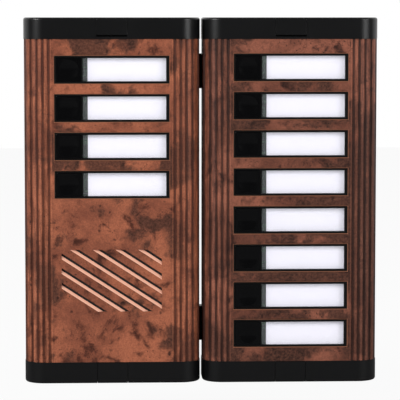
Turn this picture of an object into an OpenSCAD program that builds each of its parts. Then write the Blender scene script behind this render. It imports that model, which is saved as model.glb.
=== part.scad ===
// Door intercom panel: a speech module with four call buttons and an extension
// module with eight, side by side on a wall and linked behind their fronts.
// +Z is up and the front faces -Y. The wall is the plane y = 0, and the origin lies
// on it, midway between the modules at mid-height.
// A distance "behind the front" is counted from the front plate's outer face.

/* [Modules] */
// Width of one module
module_w = 115; // [96:1:140]
// Height of one module, end caps included
module_h = 240; // [238:1:300]
// Gap between the two modules
module_gap = 2; // [1:0.5:8]
// Wall to front face
depth = 42; // [40:1:60]
// Wall to the rear edge of the front shells
reveal = 14; // [13.5:0.5:18]
// Radius of the two long front corners
corner_r = 13; // [10:0.5:16]

/* [Front profile] */
// Thickness of the front plate
plate_t = 2; // [1.6:0.1:2.4]
// Thickness of the side walls
side_t = 2.6; // [2.2:0.1:3.2]
// Grooves along each long edge
groove_count = 5; // [3:1:5]
// Spacing of the grooves, measured across the front
groove_pitch = 3.9; // [3:0.1:3.9]
// Innermost groove to the module's side
groove_start = 16.4; // [16.4:0.1:17]
// Radius of a groove's round bottom
groove_r = 1; // [0.6:0.1:1.2]
// Wall round a screw port
port_wall = 1.5; // [1.2:0.1:2]

/* [End caps] */
// Height of a cap
cap_h = 14; // [13:0.5:18]
// Wall of a cap
cap_t = 2.5; // [2:0.1:3]
// How far a cap stands proud of the profile
cap_over = 0.3; // [0:0.1:0.5]
// Radius of a cap's outer edge
cap_edge = 1.5; // [0.8:0.1:2]
// Width of the pull-out tab
tab_w = 19.8; // [18:0.2:24]
// Depth of the tab's pocket, from the cap's face
pocket_d = 6.3; // [6:0.1:7]
// Height of the pry slot under the top tab
pry_slot = 1.1; // [0.8:0.1:1.6]
// How far a tab pulls out before it is free
tab_travel = 8; // [6:1:10]

/* [Call rows] */
// Spacing of the rows
row_pitch = 25; // [24:0.1:26]
// How much lower the speech module's rows sit
left_row_drop = 1.4; // [0:0.1:3]
// Width of a row's opening
opening_w = 75; // [75:0.5:77]
// Height of a row's opening
opening_h = 18; // [17.6:0.1:19]
// Width of a call button
button_w = 16.4; // [15:0.1:16.4]
// Height of a call button
button_h = 15.7; // [14:0.1:15.7]
// Opening's left edge to the button
button_margin = 1.2; // [1:0.1:1.5]
// Travel of a call button
button_travel = 2; // [1:0.1:2.4]
// Diameter of the finger dish
dish_dia = 13; // [10:0.5:14]
// Depth of the finger dish
dish_depth = 0.8; // [0.4:0.1:1]
// Width of the clear name window
window_w = 54.1; // [50:0.1:54.2]
// Height of the name window that shows
window_h = 14.8; // [13:0.1:15]
// Width of the name card
card_w = 52.2; // [48:0.1:52.2]

/* [Louvres] */
// Number of louvre slots
louvre_count = 7; // [5:1:7]
// Slope of the slots
louvre_angle = 33; // [25:1:45]
// Spacing of the slots, square to them
louvre_pitch = 8.1; // [7:0.1:9]
// Width of a slot with its sloped lip
louvre_w = 3.3; // [2.6:0.1:4]
// Width of the part that goes right through
louvre_open = 1.6; // [1.2:0.1:2]
// Width of the louvred field
field_w = 65.7; // [60:0.1:68]
// Height of the louvred field
field_h = 40.8; // [36:0.1:42]

/* [Boards and chassis] */
// Front face to the boards
board_depth = 13; // [12.8:0.1:14]
// Thickness of a circuit board and of the chassis plate
board_t = 1.6; // [1.2:0.1:2]
// Diameter of the loudspeaker
speaker_dia = 50; // [44:1:50]
// Diameter of the microphone capsule
mic_dia = 9.6; // [6:0.1:9.8]

/* [Back boxes] */
// Thickness of a box's floor
floor_t = 2.5; // [2.3:0.1:3]
// Thickness of a box's walls
box_t = 2.2; // [1.8:0.1:2.6]
// Thickness of the foam gasket
gasket_t = 3.5; // [3:0.1:4]
// Side to side spacing of a box's wall holes
wall_hole_dx = 80; // [70:1:84]
// Up and down spacing of a box's wall holes
wall_hole_dz = 180; // [170:1:190]
// Radius of a wall hole
wall_hole_r = 2.25; // [2:0.05:2.75]
// Radius of a cable entry's bore
entry_r = 6; // [4:0.5:7]
// Height of the box link's collar
link_h = 23; // [20:0.5:26]
// Height of a box link above or below the middle
link_z = 84.5; // [80:0.5:86]

/* [Fits] */
// Gap round fixed pieces
fit_gap = 0.15; // [0.1:0.05:0.2]
// Gap round sliding pieces
slide_gap = 0.2; // [0.15:0.05:0.3]
// Gap between a front shell and its back box
nest_gap = 0.4; // [0.3:0.05:0.6]
// Gap round a screw or a spindle in its hole
thread_gap = 0.03; // [0.02:0.01:0.05]

/* [Hidden] */
$fn = 64;
cut = 1;
left_rows = 4;
right_rows = 8;
button_names = [for (n = [1 : left_rows + right_rows]) str("call_button_", n < 10 ? "0" : "", n)];
sides = ["left", "right"];
ends = ["top", "bottom"];
tab_names = [for (s = sides) for (e = ends) str(s, "_", e, "_tab")];
cap_names = [for (s = sides) for (e = ends) str(s, "_", e, "_cap")];
front_names = [for (s = sides) for (p = ["front_profile", "screws", "fixing_screws",
    "button_carriers", "name_windows", "name_cards", "return_springs", "contact_board",
    "contact_switches", "lamps"]) str(s, "_", p)];

// y of a plane the distance d behind the front
function at(d) = d - depth;
// Height of a row's middle: rows are counted from the top
function row_z(side, i) = ((right_rows - 1) / 2 - i) * row_pitch - (side < 0 ? left_row_drop : 0);
function row_count(side) = side < 0 ? left_rows : right_rows;
function rows(side) = [for (i = [0 : row_count(side) - 1]) row_z(side, i)];

module_x = (module_w + module_gap) / 2;
profile_h = module_h - 2 * cap_h;
inner_w = module_w - 2 * side_t;

// Screw ports in the profile's corners, and the screws that go into them
port_hole_r = 1.25;
port_r = port_hole_r + port_wall;
port_sunk = 0.6;
port_inset = corner_r - side_t - port_r + port_sunk;
port_x = module_w / 2 - corner_r + port_inset * cos(45);
port_y = at(corner_r) - port_inset * sin(45);
cap_screw_head_r = 2.8;
cap_screw_head_h = 1.6;
cap_screw_l = 22;

// Guide ribs hold the boards by their edges
rib_t = 1.5;
rib_w = 2;
rib_front = board_depth - fit_gap - rib_t;
rib_back = board_depth + board_t + fit_gap;
// A corner wider than the boards are deep leaves them less room
board_corner = corner_r - side_t;
board_nook = max(0, corner_r - board_depth);
board_inset = board_corner - sqrt(board_corner * board_corner - board_nook * board_nook);
board_w = inner_w - 2 * (fit_gap + board_inset);
board_back = board_depth + board_t;

// Back box
box_w = module_w - 2 * (side_t + nest_gap);
box_h = module_h - 2 * (cap_t + nest_gap);
box_rim = at(rib_back + rib_t + slide_gap + gasket_t);
box_corner = 3;
gasket_w = 3;
box_gap = module_gap + 2 * (side_t + nest_gap);

// Fixing screws, through the caps into the boxes
fixing_z = profile_h / 2 + 5.5;
fixing_r = 2;
fixing_head_r = 3.5;
fixing_head_h = 3;
fixing_boss_r = 4.5;
fixing_bite = 14;
boss_floor = 6;

// Cap pocket and tab
pocket_t = 1.6;
pocket_y = at(pocket_d) - cap_over;
pocket_w = tab_w + 2 * slide_gap;
sill_h = 1.5;
tab_front = 2.4;
tab_side = 1.5;
leg_x = 7.5;
leg_w = 2.5;
leg_h = 3;
leg_l = tab_travel + 0.5;
tongue_x = [15, 38];
tongue_l = 5;
tongue_t = 1.8;

// Row carrier: depths are behind the front, places are from the opening's middle
carrier_d = 0.3;
seat_gap = 0.2;
flange_w = opening_w + 8;
flange_h = opening_h + 4;
flange_t = 1.6;
frame_d = plate_t + flange_t + 2.4;
post_r = 2.2;
post_x = flange_w / 2 - post_r - 0.4;
pilot_r = 1.12;
button_x = -opening_w / 2 + button_margin + button_w / 2;
window_x0 = button_x + button_w / 2 + fit_gap + 0.9;
window_x1 = window_x0 + window_w;
window_lip = 1.15;
window_d = 0.5;
window_t = 1.4;
card_t = 0.4;
card_x0 = window_x1 + window_lip - card_w;
bar_w = 2;
bar_t = 1.4;
bar_x = [window_x0 + 0.2 * window_w, window_x0 + 0.8 * window_w];

// Call button, its spring and its switch
button_d = 0.1;
button_face_t = 2.5;
button_wall = 1.2;
lip_t = 1;
lip_gap = 0.3;
lip_h = button_h + 2;
stem_r = 2;
switch_w = 6.2;
switch_h = 1.1;
dome_r = 1.8;
dome_h = 0.6;
stem_end = board_depth - switch_h - dome_h - button_travel - 0.1;
spring_r = 5.4;
spring_wall = 0.8;

// Lamps behind the name cards
lamp_r = 1.5;
lamp_l = 4.5;
lamp_x = [window_x0 + 0.4 * window_w, window_x0 + 0.62 * window_w];

// Louvred field and the speech parts behind it
field_x = -0.4;
field_z = -52.1;
louvre_shift = 3.9;
membrane_t = 0.3;
speaker_x = 8;
speaker_z = -50;
speaker_r = speaker_dia / 2;
speaker_rim = 3;
gasket_d = plate_t + membrane_t + 0.05;
flange_d = gasket_d + 2;
basket_t = 1.2;
magnet_r = 11;
magnet_l = 6.2;
mic_x = -27.5;
mic_z = -59;
mic_r = mic_dia / 2;
boot_wall = 1.4;
boot_skin = 0.7;
mic_l = 7;
chassis_top = row_z(-1, left_rows - 1) - row_pitch / 2 - 0.8;
chassis_bottom = -(profile_h / 2 - 2);
speech_w = 80;
speech_h = 24;
speech_z = chassis_bottom + 1 + speech_h / 2;
standoff_l = 3;
standoff_r = 2.6;
standoff_dx = 36;
standoff_dz = 9;
speech_front = board_back + standoff_l;
speech_back = speech_front + board_t;
trimmer_w = 6.6;
trimmer_h = 3;
trimmer_r = 2.4;
spindle_r = 1;
trimmer_x = -14;
trimmer_dz = 6;

// Box link, its cable and the terminals
tube_h = link_h - 3;
tube_d = 8;
tube_t = 1.5;
link_y = -floor_t - 1.3 - tube_d / 2;
link_gap = 0.1;
tube_out = box_gap / 2 + box_t + 1.2;
block_w = 10;
block_d = 11;
block_h = 60;
block_x = module_x - 30;
block_z = 66;
block_ways = 6;
cable_r = 2.2;
cable_z = link_z + tube_h / 2 - tube_t - cable_r - 0.2;

// Cable entry
entry_z = -60;
entry_neck_r = entry_r + 2.8;
entry_rim_r = entry_neck_r + 2.2;
entry_sink = 1.2;

screw_r = 1.1;
screw_head_r = 2.1;
screw_head_h = 1.4;

// ---- helpers ----

// A cylinder along +Y from y0 to y1
module rod(r, y0, y1) {
    translate([0, y0, 0]) rotate([-90, 0, 0]) cylinder(r = r, h = y1 - y0);
}

// A block from x0 to x1, y0 to y1, z0 to z1
module block(x, y, z) {
    translate([x[0], y[0], z[0]]) cube([x[1] - x[0], y[1] - y[0], z[1] - z[0]]);
}

// A block centred on the Y axis
module slab(w, h, y0, y1) {
    block([-w / 2, w / 2], [y0, y1], [-h / 2, h / 2]);
}

// Both modules' places: side is -1 for the left and 1 for the right
module on_side(side) {
    translate([side * module_x, 0, 0]) children();
}

module at_rows(side) {
    for (z = rows(side)) on_side(side) translate([0, 0, z]) children();
}

// end is 1 for the top and -1 for the bottom; the child is drawn for the top
module on_end(end) {
    if (end > 0) children();
    else mirror([0, 0, 1]) children();
}

// Plan of a shell: flat front with two round corners, straight sides, open back
module d_shape(w, r, front, back) {
    translate([-w / 2, front + r]) square([w, back - front - r]);
    translate([-w / 2 + r, front]) square([w - 2 * r, r]);
    for (s = [-1, 1]) translate([s * (w / 2 - r), front + r]) intersection() {
        circle(r);
        translate([-r, -r]) square([2 * r, r]);
    }
}

// ---- front profile ----

module grooves() {
    for (s = [-1, 1]) for (i = [0 : groove_count - 1]) {
        inset = groove_start - i * groove_pitch;
        a = inset < corner_r ? asin((corner_r - inset) / corner_r) : 0;
        x = module_w / 2 - max(inset, corner_r);
        r = corner_r + 0.1;
        translate([s * (x + r * sin(a)), at(corner_r) - r * cos(a)]) circle(groove_r);
    }
}

module profile_section() {
    difference() {
        union() {
            difference() {
                d_shape(module_w, corner_r, -depth, -reveal);
                d_shape(inner_w, corner_r - side_t, at(plate_t), -reveal + cut);
            }
            for (s = [-1, 1]) {
                translate([s * port_x, port_y]) circle(port_r);
                for (d = [rib_front, rib_back])
                    translate([s * (inner_w + side_t - rib_w) / 2, at(d + rib_t / 2)])
                        square([rib_w + side_t, rib_t], center = true);
            }
        }
        grooves();
        for (s = [-1, 1]) translate([s * port_x, port_y]) circle(port_hole_r);
    }
}

module louvre(offset_t) {
    rotate([0, louvre_angle - 90, 0]) translate([offset_t, 0, 0])
        linear_extrude(field_w + field_h, center = true) polygon([
            [-louvre_w / 2, at(-cut)], [louvre_w / 2, at(-cut)],
            [louvre_w / 2, at(plate_t + cut)], [louvre_w / 2 - louvre_open, at(plate_t + cut)],
            [louvre_w / 2 - louvre_open, at(plate_t)], [-louvre_w / 2, at(0)]]);
}

module louvres() {
    translate([field_x, 0, field_z]) intersection() {
        for (i = [0 : louvre_count - 1])
            louvre(louvre_shift + (i - (louvre_count - 1) / 2) * louvre_pitch);
        slab(field_w, field_h, at(-2 * cut), at(plate_t + 2 * cut));
    }
}

module front_profile(side) {
    color("sienna") on_side(side) difference() {
        translate([0, 0, -profile_h / 2]) linear_extrude(profile_h) profile_section();
        for (z = rows(side))
            translate([0, 0, z]) slab(opening_w, opening_h, at(-cut), at(plate_t + cut));
        if (side < 0) louvres();
    }
}

// ---- end caps and tabs ----

cap_w = module_w + 2 * cap_over;
cap_r = corner_r + cap_over;
cap_y = -depth - cap_over;

module cap_edge_section() {
    square([cap_r, cap_h - cap_edge]);
    square([cap_r - cap_edge, cap_h]);
    translate([cap_r - cap_edge, cap_h - cap_edge]) circle(cap_edge);
}

// The cap's outer form, standing on z = 0
module cap_outer() {
    span = cap_w - 2 * cap_r;
    flank = -reveal - cap_y - cap_r;
    translate([0, cap_y + cap_r, 0]) {
        for (s = [-1, 1]) translate([s * span / 2, 0, 0]) {
            rotate_extrude() cap_edge_section();
            translate([0, flank / 2, 0]) rotate([90, 0, s > 0 ? 0 : 180])
                linear_extrude(flank, center = true) cap_edge_section();
        }
        rotate([90, 0, -90]) linear_extrude(span, center = true) cap_edge_section();
        block([-span / 2, span / 2], [0, flank], [0, cap_h]);
    }
}

// What stays solid inside the hollow cap
module cap_inside() {
    block([-pocket_w / 2 - pocket_t, pocket_w / 2 + pocket_t],
          [cap_y + cap_t / 2, pocket_y + pocket_t], [0, cap_h - cap_edge]);
    for (s = [-1, 1]) translate([s * port_x, port_y, 0]) cylinder(r = port_r + 0.6, h = cap_h - cap_edge);
    translate([0, 0, fixing_z - profile_h / 2])
        rod(fixing_boss_r, pocket_y + cut, at(rib_back + rib_t));
}

module cap(side, end, sill) {
    color([0.09, 0.09, 0.09]) on_side(side) on_end(end) translate([0, 0, profile_h / 2]) {
        difference() {
            intersection() {
                cap_outer();
                block([-cap_w, cap_w], [cap_y - cut, -reveal], [-cut, cap_h + cut]);
            }
            difference() {
                translate([0, 0, -cut]) linear_extrude(cap_h - cap_t + cut)
                    d_shape(cap_w - 2 * cap_t, cap_r - cap_t, cap_y + cap_t, -reveal + cut);
                cap_inside();
            }
            block([-pocket_w / 2, pocket_w / 2], [cap_y - cut, pocket_y],
                  [sill > 0 ? sill : -cut, cap_h + cut]);
            translate([0, 0, fixing_z - profile_h / 2]) {
                rod(fixing_r + slide_gap, pocket_y - cut, at(rib_back + rib_t) + cut);
                for (s = [-1, 1]) translate([s * leg_x, 0, 0])
                    slab(leg_w + 2 * slide_gap, leg_h + 2 * slide_gap, pocket_y - cut,
                         pocket_y + pocket_t + cut);
            }
            for (s = [-1, 1]) translate([s * port_x, port_y, 0]) {
                translate([0, 0, -cut]) cylinder(r = port_hole_r + slide_gap, h = cap_h);
                translate([0, 0, cap_h - cap_screw_head_h - 0.4])
                    cylinder(r = cap_screw_head_r + slide_gap, h = cap_h);
            }
        }
        for (s = [-1, 1]) mirror([s < 0 ? 1 : 0, 0, 0])
            block(tongue_x, [at(plate_t + fit_gap), at(plate_t + fit_gap) + tongue_t],
                  [-tongue_l, cap_h - cap_t + cut]);
    }
}

module tab(side, end, foot) {
    color([0.12, 0.12, 0.12]) on_side(side) on_end(end) translate([0, 0, profile_h / 2]) {
        difference() {
            intersection() {
                cap_outer();
                block([-tab_w / 2, tab_w / 2], [cap_y - cut, pocket_y - slide_gap], [foot, cap_h + cut]);
            }
            block([-tab_w / 2 + tab_side, tab_w / 2 - tab_side], [cap_y + tab_front, pocket_y + cut],
                  [foot - cut, cap_h - cap_t]);
        }
        translate([0, 0, fixing_z - profile_h / 2]) for (s = [-1, 1]) translate([s * leg_x, 0, 0])
            slab(leg_w, leg_h, cap_y + tab_front / 2, cap_y + tab_front + leg_l);
    }
}

// ---- screws ----

// A pan head with its seat at y = 0 and its shank along +Y
module screw(shank_r, shank_l, head_r, head_h) {
    rod(head_r, -head_h, 0);
    rod(shank_r, -cut / 2, shank_l);
}

module end_screw() {
    screw(port_hole_r - thread_gap, cap_screw_l, cap_screw_head_r, cap_screw_head_h);
}

module board_screw() {
    rotate([0, 0, 180]) screw(screw_r, board_t + 4, screw_head_r, screw_head_h);
}

module module_screws(side) {
    color("silver") on_side(side) {
        for (end = [1, -1], s = [-1, 1]) on_end(end)
            translate([s * port_x, port_y, module_h / 2 - cap_screw_head_h - 0.4])
                rotate([-90, 0, 0]) end_screw();
        for (i = [0, row_count(side) - 1], s = [-1, 1])
            translate([s * post_x, at(board_back), row_z(side, i)]) board_screw();
        if (side < 0) for (s = [-1, 1], t = [-1, 1])
            translate([s * standoff_dx, at(speech_back), speech_z + t * standoff_dz]) board_screw();
    }
}

module fixing_screws(side) {
    color("silver") on_side(side) for (end = [1, -1]) translate([0, pocket_y, end * fixing_z])
        screw(fixing_r, box_rim + fixing_bite - pocket_y, fixing_head_r, fixing_head_h);
}

// ---- call rows ----

module carrier() {
    difference() {
        union() {
            slab(opening_w - 2 * fit_gap, opening_h - 2 * fit_gap, at(carrier_d), at(plate_t + 0.5));
            slab(flange_w, flange_h, at(plate_t), at(plate_t + flange_t));
            slab(flange_w - 4, flange_h - 1, at(plate_t + flange_t / 2), at(frame_d));
            for (s = [-1, 1]) translate([s * post_x, 0, 0])
                rod(post_r, at(plate_t + flange_t / 2), at(board_depth));
        }
        translate([button_x, 0, 0])
            slab(button_w + 2 * fit_gap, button_h + 2 * fit_gap, at(-cut), at(frame_d + cut));
        block([window_x0 - fit_gap, window_x1 + fit_gap], [at(-cut), at(frame_d + cut)],
              [-window_h / 2 - fit_gap, window_h / 2 + fit_gap]);
        block([window_x0 - fit_gap, window_x1 + window_lip + fit_gap],
              [at(plate_t + seat_gap), at(frame_d + cut)],
              [-window_h / 2 - window_lip - fit_gap, window_h / 2 + window_lip + fit_gap]);
        for (s = [-1, 1]) translate([s * post_x, 0, 0])
            rod(pilot_r, at(board_depth - 7), at(board_depth + cut));
    }
    for (x = bar_x) translate([x, 0, 0]) slab(bar_w, flange_h - 1, at(frame_d - bar_t), at(frame_d));
}

module name_window() {
    block([window_x0, window_x1], [at(window_d), at(plate_t + seat_gap + window_t)],
          [-window_h / 2, window_h / 2]);
    block([window_x0, window_x1 + window_lip], [at(plate_t + seat_gap), at(plate_t + seat_gap + window_t)],
          [-window_h / 2 - window_lip, window_h / 2 + window_lip]);
}

module name_card() {
    card_d = plate_t + seat_gap + 0.05 + window_t;
    block([card_x0, card_x0 + card_w], [at(card_d), at(card_d + card_t)],
          [-window_h / 2 - 1, window_h / 2 + 1]);
}

module button(n) {
    side = n <= left_rows ? -1 : 1;
    row = n <= left_rows ? n - 1 : n - left_rows - 1;
    dish_r = (dish_dia * dish_dia / 4 + dish_depth * dish_depth) / (2 * dish_depth);
    lip_d = frame_d + lip_gap;
    color([0.05, 0.05, 0.05]) on_side(side) translate([button_x, 0, row_z(side, row)]) {
        difference() {
            union() {
                slab(button_w, button_h, at(button_d), at(lip_d + lip_t / 2));
                slab(button_w, lip_h, at(lip_d), at(lip_d + lip_t));
            }
            translate([0, at(button_d + dish_depth) - dish_r, 0]) sphere(dish_r, $fn = 256);
            slab(button_w - 2 * button_wall, button_h - 2 * button_wall,
                 at(button_d + button_face_t), at(lip_d + lip_t + cut));
        }
        rod(stem_r, at(button_d + button_face_t / 2 + dish_depth / 2), at(stem_end));
    }
}

module return_springs(side) {
    color("gainsboro") at_rows(side) translate([button_x, 0, 0]) difference() {
        rod(spring_r, at(button_d + button_face_t + 0.05), at(board_depth - 0.05));
        rod(spring_r - spring_wall, at(0), at(board_depth + cut));
    }
}

module contact_switches(side) {
    color("dimgray") at_rows(side) translate([button_x, 0, 0]) {
        slab(switch_w, switch_w, at(board_depth - switch_h), at(board_depth));
        rod(dome_r, at(board_depth - switch_h - dome_h), at(board_depth - switch_h / 2));
    }
}

module lamps(side) {
    color("ivory") at_rows(side) for (x = lamp_x) translate([x, 0, 0]) {
        translate([0, at(board_depth - lamp_l), 0]) sphere(lamp_r);
        rod(lamp_r, at(board_depth - lamp_l), at(board_depth));
        rod(lamp_r + 0.4, at(board_depth - 1), at(board_depth));
    }
}

module contact_board(side) {
    z1 = row_z(side, 0) + row_pitch / 2;
    z0 = row_z(side, row_count(side) - 1) - row_pitch / 2;
    color("seagreen") on_side(side) difference() {
        block([-board_w / 2, board_w / 2], [at(board_depth), at(board_back)], [z0, z1]);
        for (i = [0, row_count(side) - 1], s = [-1, 1]) translate([s * post_x, 0, row_z(side, i)])
            rod(screw_r + fit_gap, at(board_depth) - cut, at(board_back) + cut);
    }
}

// ---- speech unit ----

module speech_chassis() {
    ring_d = flange_d + basket_t + 0.05;
    tube_r = mic_r + boot_wall + 0.1;
    color([0.2, 0.2, 0.21]) on_side(-1) difference() {
        union() {
            block([-board_w / 2, board_w / 2], [at(board_depth), at(board_back)],
                  [chassis_bottom, chassis_top]);
            translate([speaker_x, 0, speaker_z]) rod(speaker_r + 1, at(ring_d), at(board_back));
            translate([mic_x, 0, mic_z]) rod(tube_r + 1.4, at(ring_d), at(board_back));
            for (s = [-1, 1], t = [-1, 1])
                translate([s * standoff_dx, 0, speech_z + t * standoff_dz])
                    rod(standoff_r, at(board_back - board_t / 2), at(speech_front));
        }
        translate([speaker_x, 0, speaker_z]) {
            rod(speaker_r - 1.6, at(ring_d) - cut, at(board_depth));
            rod(magnet_r + 1.2, at(board_depth) - cut, at(board_back) + cut);
        }
        translate([mic_x, 0, mic_z]) {
            rod(tube_r, at(ring_d) - cut, at(board_depth));
            rod(tube_r - 2, at(board_depth) - cut, at(board_back) + cut);
        }
        for (s = [-1, 1], t = [-1, 1]) translate([s * standoff_dx, 0, speech_z + t * standoff_dz])
            rod(pilot_r, at(board_depth) - cut, at(speech_front) + cut);
    }
}

module grille_membrane() {
    color([0.15, 0.15, 0.15]) on_side(-1) translate([field_x, 0, field_z])
        slab(field_w + 3, field_h + 3, at(plate_t), at(plate_t + membrane_t));
}

// Moves what is drawn round the Z axis, with the front at z = 0, behind the louvres
module at_speaker() {
    on_side(-1) translate([speaker_x, 0, speaker_z]) rotate([-90, 0, 0])
        translate([0, 0, -depth]) children();
}

module speaker_gasket() {
    color([0.1, 0.1, 0.1]) at_speaker() rotate_extrude()
        translate([speaker_r - speaker_rim, gasket_d]) square([speaker_rim, flange_d - gasket_d]);
}

module speaker_basket() {
    back = board_depth - 0.2;
    color("gray") at_speaker() rotate_extrude() polygon([
        [speaker_r, flange_d], [speaker_r, flange_d + basket_t],
        [speaker_r - speaker_rim, flange_d + basket_t], [magnet_r + 0.5, back],
        [3, back], [3, back - basket_t], [magnet_r - 0.5, back - basket_t],
        [speaker_r - speaker_rim - 1, flange_d + 0.5], [speaker_r - speaker_rim - 1, flange_d]]);
}

module speaker_cone() {
    rim = speaker_r - speaker_rim - 1.1;
    color([0.16, 0.15, 0.14]) at_speaker() rotate_extrude() polygon([
        [rim, flange_d], [rim, flange_d + 0.3], [rim - 2.5, flange_d + 0.3],
        [7, board_depth - 3.2], [0, board_depth - 3.2], [0, board_depth - 3.6],
        [6.6, board_depth - 3.6], [rim - 3, flange_d]]);
}

module speaker_magnet() {
    color("dimgray") at_speaker() translate([0, 0, board_depth - 0.2]) cylinder(r = magnet_r, h = magnet_l);
}

module microphone() {
    color("silver") on_side(-1) translate([mic_x, 0, mic_z])
        rod(mic_r, at(gasket_d + boot_skin), at(gasket_d + mic_l));
}

module microphone_boot() {
    color([0.1, 0.1, 0.1]) on_side(-1) translate([mic_x, 0, mic_z]) difference() {
        rod(mic_r + boot_wall, at(gasket_d), at(gasket_d + mic_l + 1.2));
        rod(mic_r + 0.02, at(gasket_d + boot_skin), at(gasket_d + mic_l + 2));
        rod(2, at(gasket_d) - cut, at(gasket_d + cut));
    }
}

module speech_board() {
    color("seagreen") on_side(-1) translate([0, 0, speech_z]) difference() {
        slab(speech_w, speech_h, at(speech_front), at(speech_back));
        for (s = [-1, 1], t = [-1, 1]) translate([s * standoff_dx, 0, t * standoff_dz])
            rod(screw_r + fit_gap, at(speech_front) - cut, at(speech_back) + cut);
    }
}

module trimmer_body() {
    difference() {
        slab(trimmer_w, trimmer_w, at(speech_back), at(speech_back + trimmer_h));
        rod(spindle_r + thread_gap, at(speech_back + 1), at(speech_back + trimmer_h + cut));
    }
}

module speech_board_parts() {
    color([0.16, 0.17, 0.2]) on_side(-1) translate([0, 0, speech_z]) {
        for (t = [-1, 1]) translate([trimmer_x, 0, t * trimmer_dz]) trimmer_body();
        // coupling transformer
        translate([4, 0, 1]) slab(14, 12, at(speech_back), at(speech_back + 8));
        // amplifier
        translate([20, 0, -6]) slab(10, 6, at(speech_back), at(speech_back + 2));
        // two capacitors
        for (x = [17, 26]) translate([x, 0, 5]) rod(3.6, at(speech_back), at(speech_back + 8));
        // connector to the terminals
        translate([-26, 0, 0]) slab(8, 18, at(speech_back), at(speech_back + 7));
    }
}

module trimmer(t) {
    color("ivory") on_side(-1) translate([trimmer_x, 0, speech_z + t * trimmer_dz]) difference() {
        union() {
            rod(trimmer_r, at(speech_back + trimmer_h + 0.05), at(speech_back + trimmer_h + 1.3));
            rod(spindle_r, at(speech_back + 1.3), at(speech_back + trimmer_h + 0.5));
        }
        slab(0.7, 3.6, at(speech_back + trimmer_h + 0.8), at(speech_back + trimmer_h + 2));
    }
}

// ---- wall side ----

module rounded_slab(w, h, r, y0, y1) {
    slab(w - 2 * r, h, y0, y1);
    slab(w, h - 2 * r, y0, y1);
    for (s = [-1, 1], t = [-1, 1]) translate([s * (w / 2 - r), 0, t * (h / 2 - r)]) rod(r, y0, y1);
}

module back_box(side) {
    color([0.1, 0.1, 0.1]) on_side(side) difference() {
        union() {
            difference() {
                rounded_slab(box_w, box_h, box_corner, box_rim, 0);
                slab(box_w - 2 * box_t, box_h - 2 * box_t, box_rim - cut, -floor_t);
            }
            for (end = [1, -1]) translate([0, 0, end * fixing_z]) rod(fixing_boss_r, box_rim, -floor_t / 2);
        }
        for (end = [1, -1]) translate([0, 0, end * fixing_z])
            rod(fixing_r + thread_gap, box_rim - cut, -boss_floor + cut);
        for (s = [-1, 1], t = [-1, 1]) translate([s * wall_hole_dx / 2, 0, t * wall_hole_dz / 2])
            rod(wall_hole_r, -floor_t - cut, cut);
        translate([0, 0, entry_z]) {
            rod(entry_neck_r + fit_gap, -floor_t - cut, cut);
            rod(entry_rim_r + fit_gap, -entry_sink, cut);
        }
        for (t = [-1, 1]) translate([-side * box_w / 2, link_y, t * link_z])
            cube([4 * box_t, tube_d + 2 * fit_gap, tube_h + 2 * fit_gap], center = true);
    }
}

module box_gaskets() {
    color([0.2, 0.2, 0.2]) for (side = [-1, 1]) on_side(side) difference() {
        rounded_slab(box_w, box_h, box_corner, box_rim - gasket_t, box_rim);
        slab(box_w - 2 * gasket_w, box_h - 2 * gasket_w, box_rim - gasket_t - cut, box_rim + cut);
    }
}

module box_links() {
    collar = box_gap / 2 - link_gap;
    color([0.08, 0.08, 0.08]) for (t = [-1, 1]) translate([0, link_y, t * link_z]) difference() {
        union() {
            cube([2 * tube_out, tube_d, tube_h], center = true);
            cube([2 * collar, tube_d + 2, link_h], center = true);
        }
        cube([2 * tube_out + cut, tube_d - 2 * tube_t, tube_h - 2 * tube_t], center = true);
    }
}

function way_z(i) = block_z + (i - (block_ways - 1) / 2) * (block_h / block_ways);

module terminal_blocks() {
    color("ivory") for (side = [-1, 1]) translate([side * block_x, 0, 0]) difference() {
        translate([0, 0, block_z]) slab(block_w, block_h, -floor_t - block_d, -floor_t);
        for (i = [0 : block_ways - 1]) translate([0, 0, way_z(i)]) {
            rod(screw_head_r + fit_gap, -floor_t - block_d - cut, -floor_t - block_d + 3);
            rod(screw_r + thread_gap, -floor_t - block_d, -floor_t - 2);
            translate([side * block_w / 2, -floor_t - 3, 0]) rotate([0, 90, 0])
                cylinder(r = 1.6, h = block_w * 0.6, center = true);
        }
    }
}

module terminal_screws() {
    color("silver") for (side = [-1, 1]) translate([side * block_x, -floor_t - block_d + 3, 0])
        for (i = [0 : block_ways - 1]) translate([0, 0, way_z(i)])
            screw(screw_r, block_d - 6, screw_head_r, screw_head_h);
}

module link_cable() {
    color("dimgray") translate([0, link_y, cable_z]) rotate([0, 90, 0])
        cylinder(r = cable_r, h = 2 * block_x - block_w, center = true);
}

module cable_grommets() {
    color([0.05, 0.05, 0.05]) for (side = [-1, 1]) on_side(side) translate([0, 0, entry_z])
        rotate([90, 0, 0]) rotate_extrude() polygon([
            [entry_r, 0], [entry_rim_r, 0], [entry_rim_r, entry_sink - 0.1],
            [entry_neck_r, entry_sink - 0.1], [entry_neck_r, floor_t + 0.1],
            [entry_rim_r, floor_t + 0.1], [entry_rim_r - 0.6, floor_t + 1.4], [entry_r, floor_t + 1.4]]);
}

// ---- nodes ----

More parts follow.
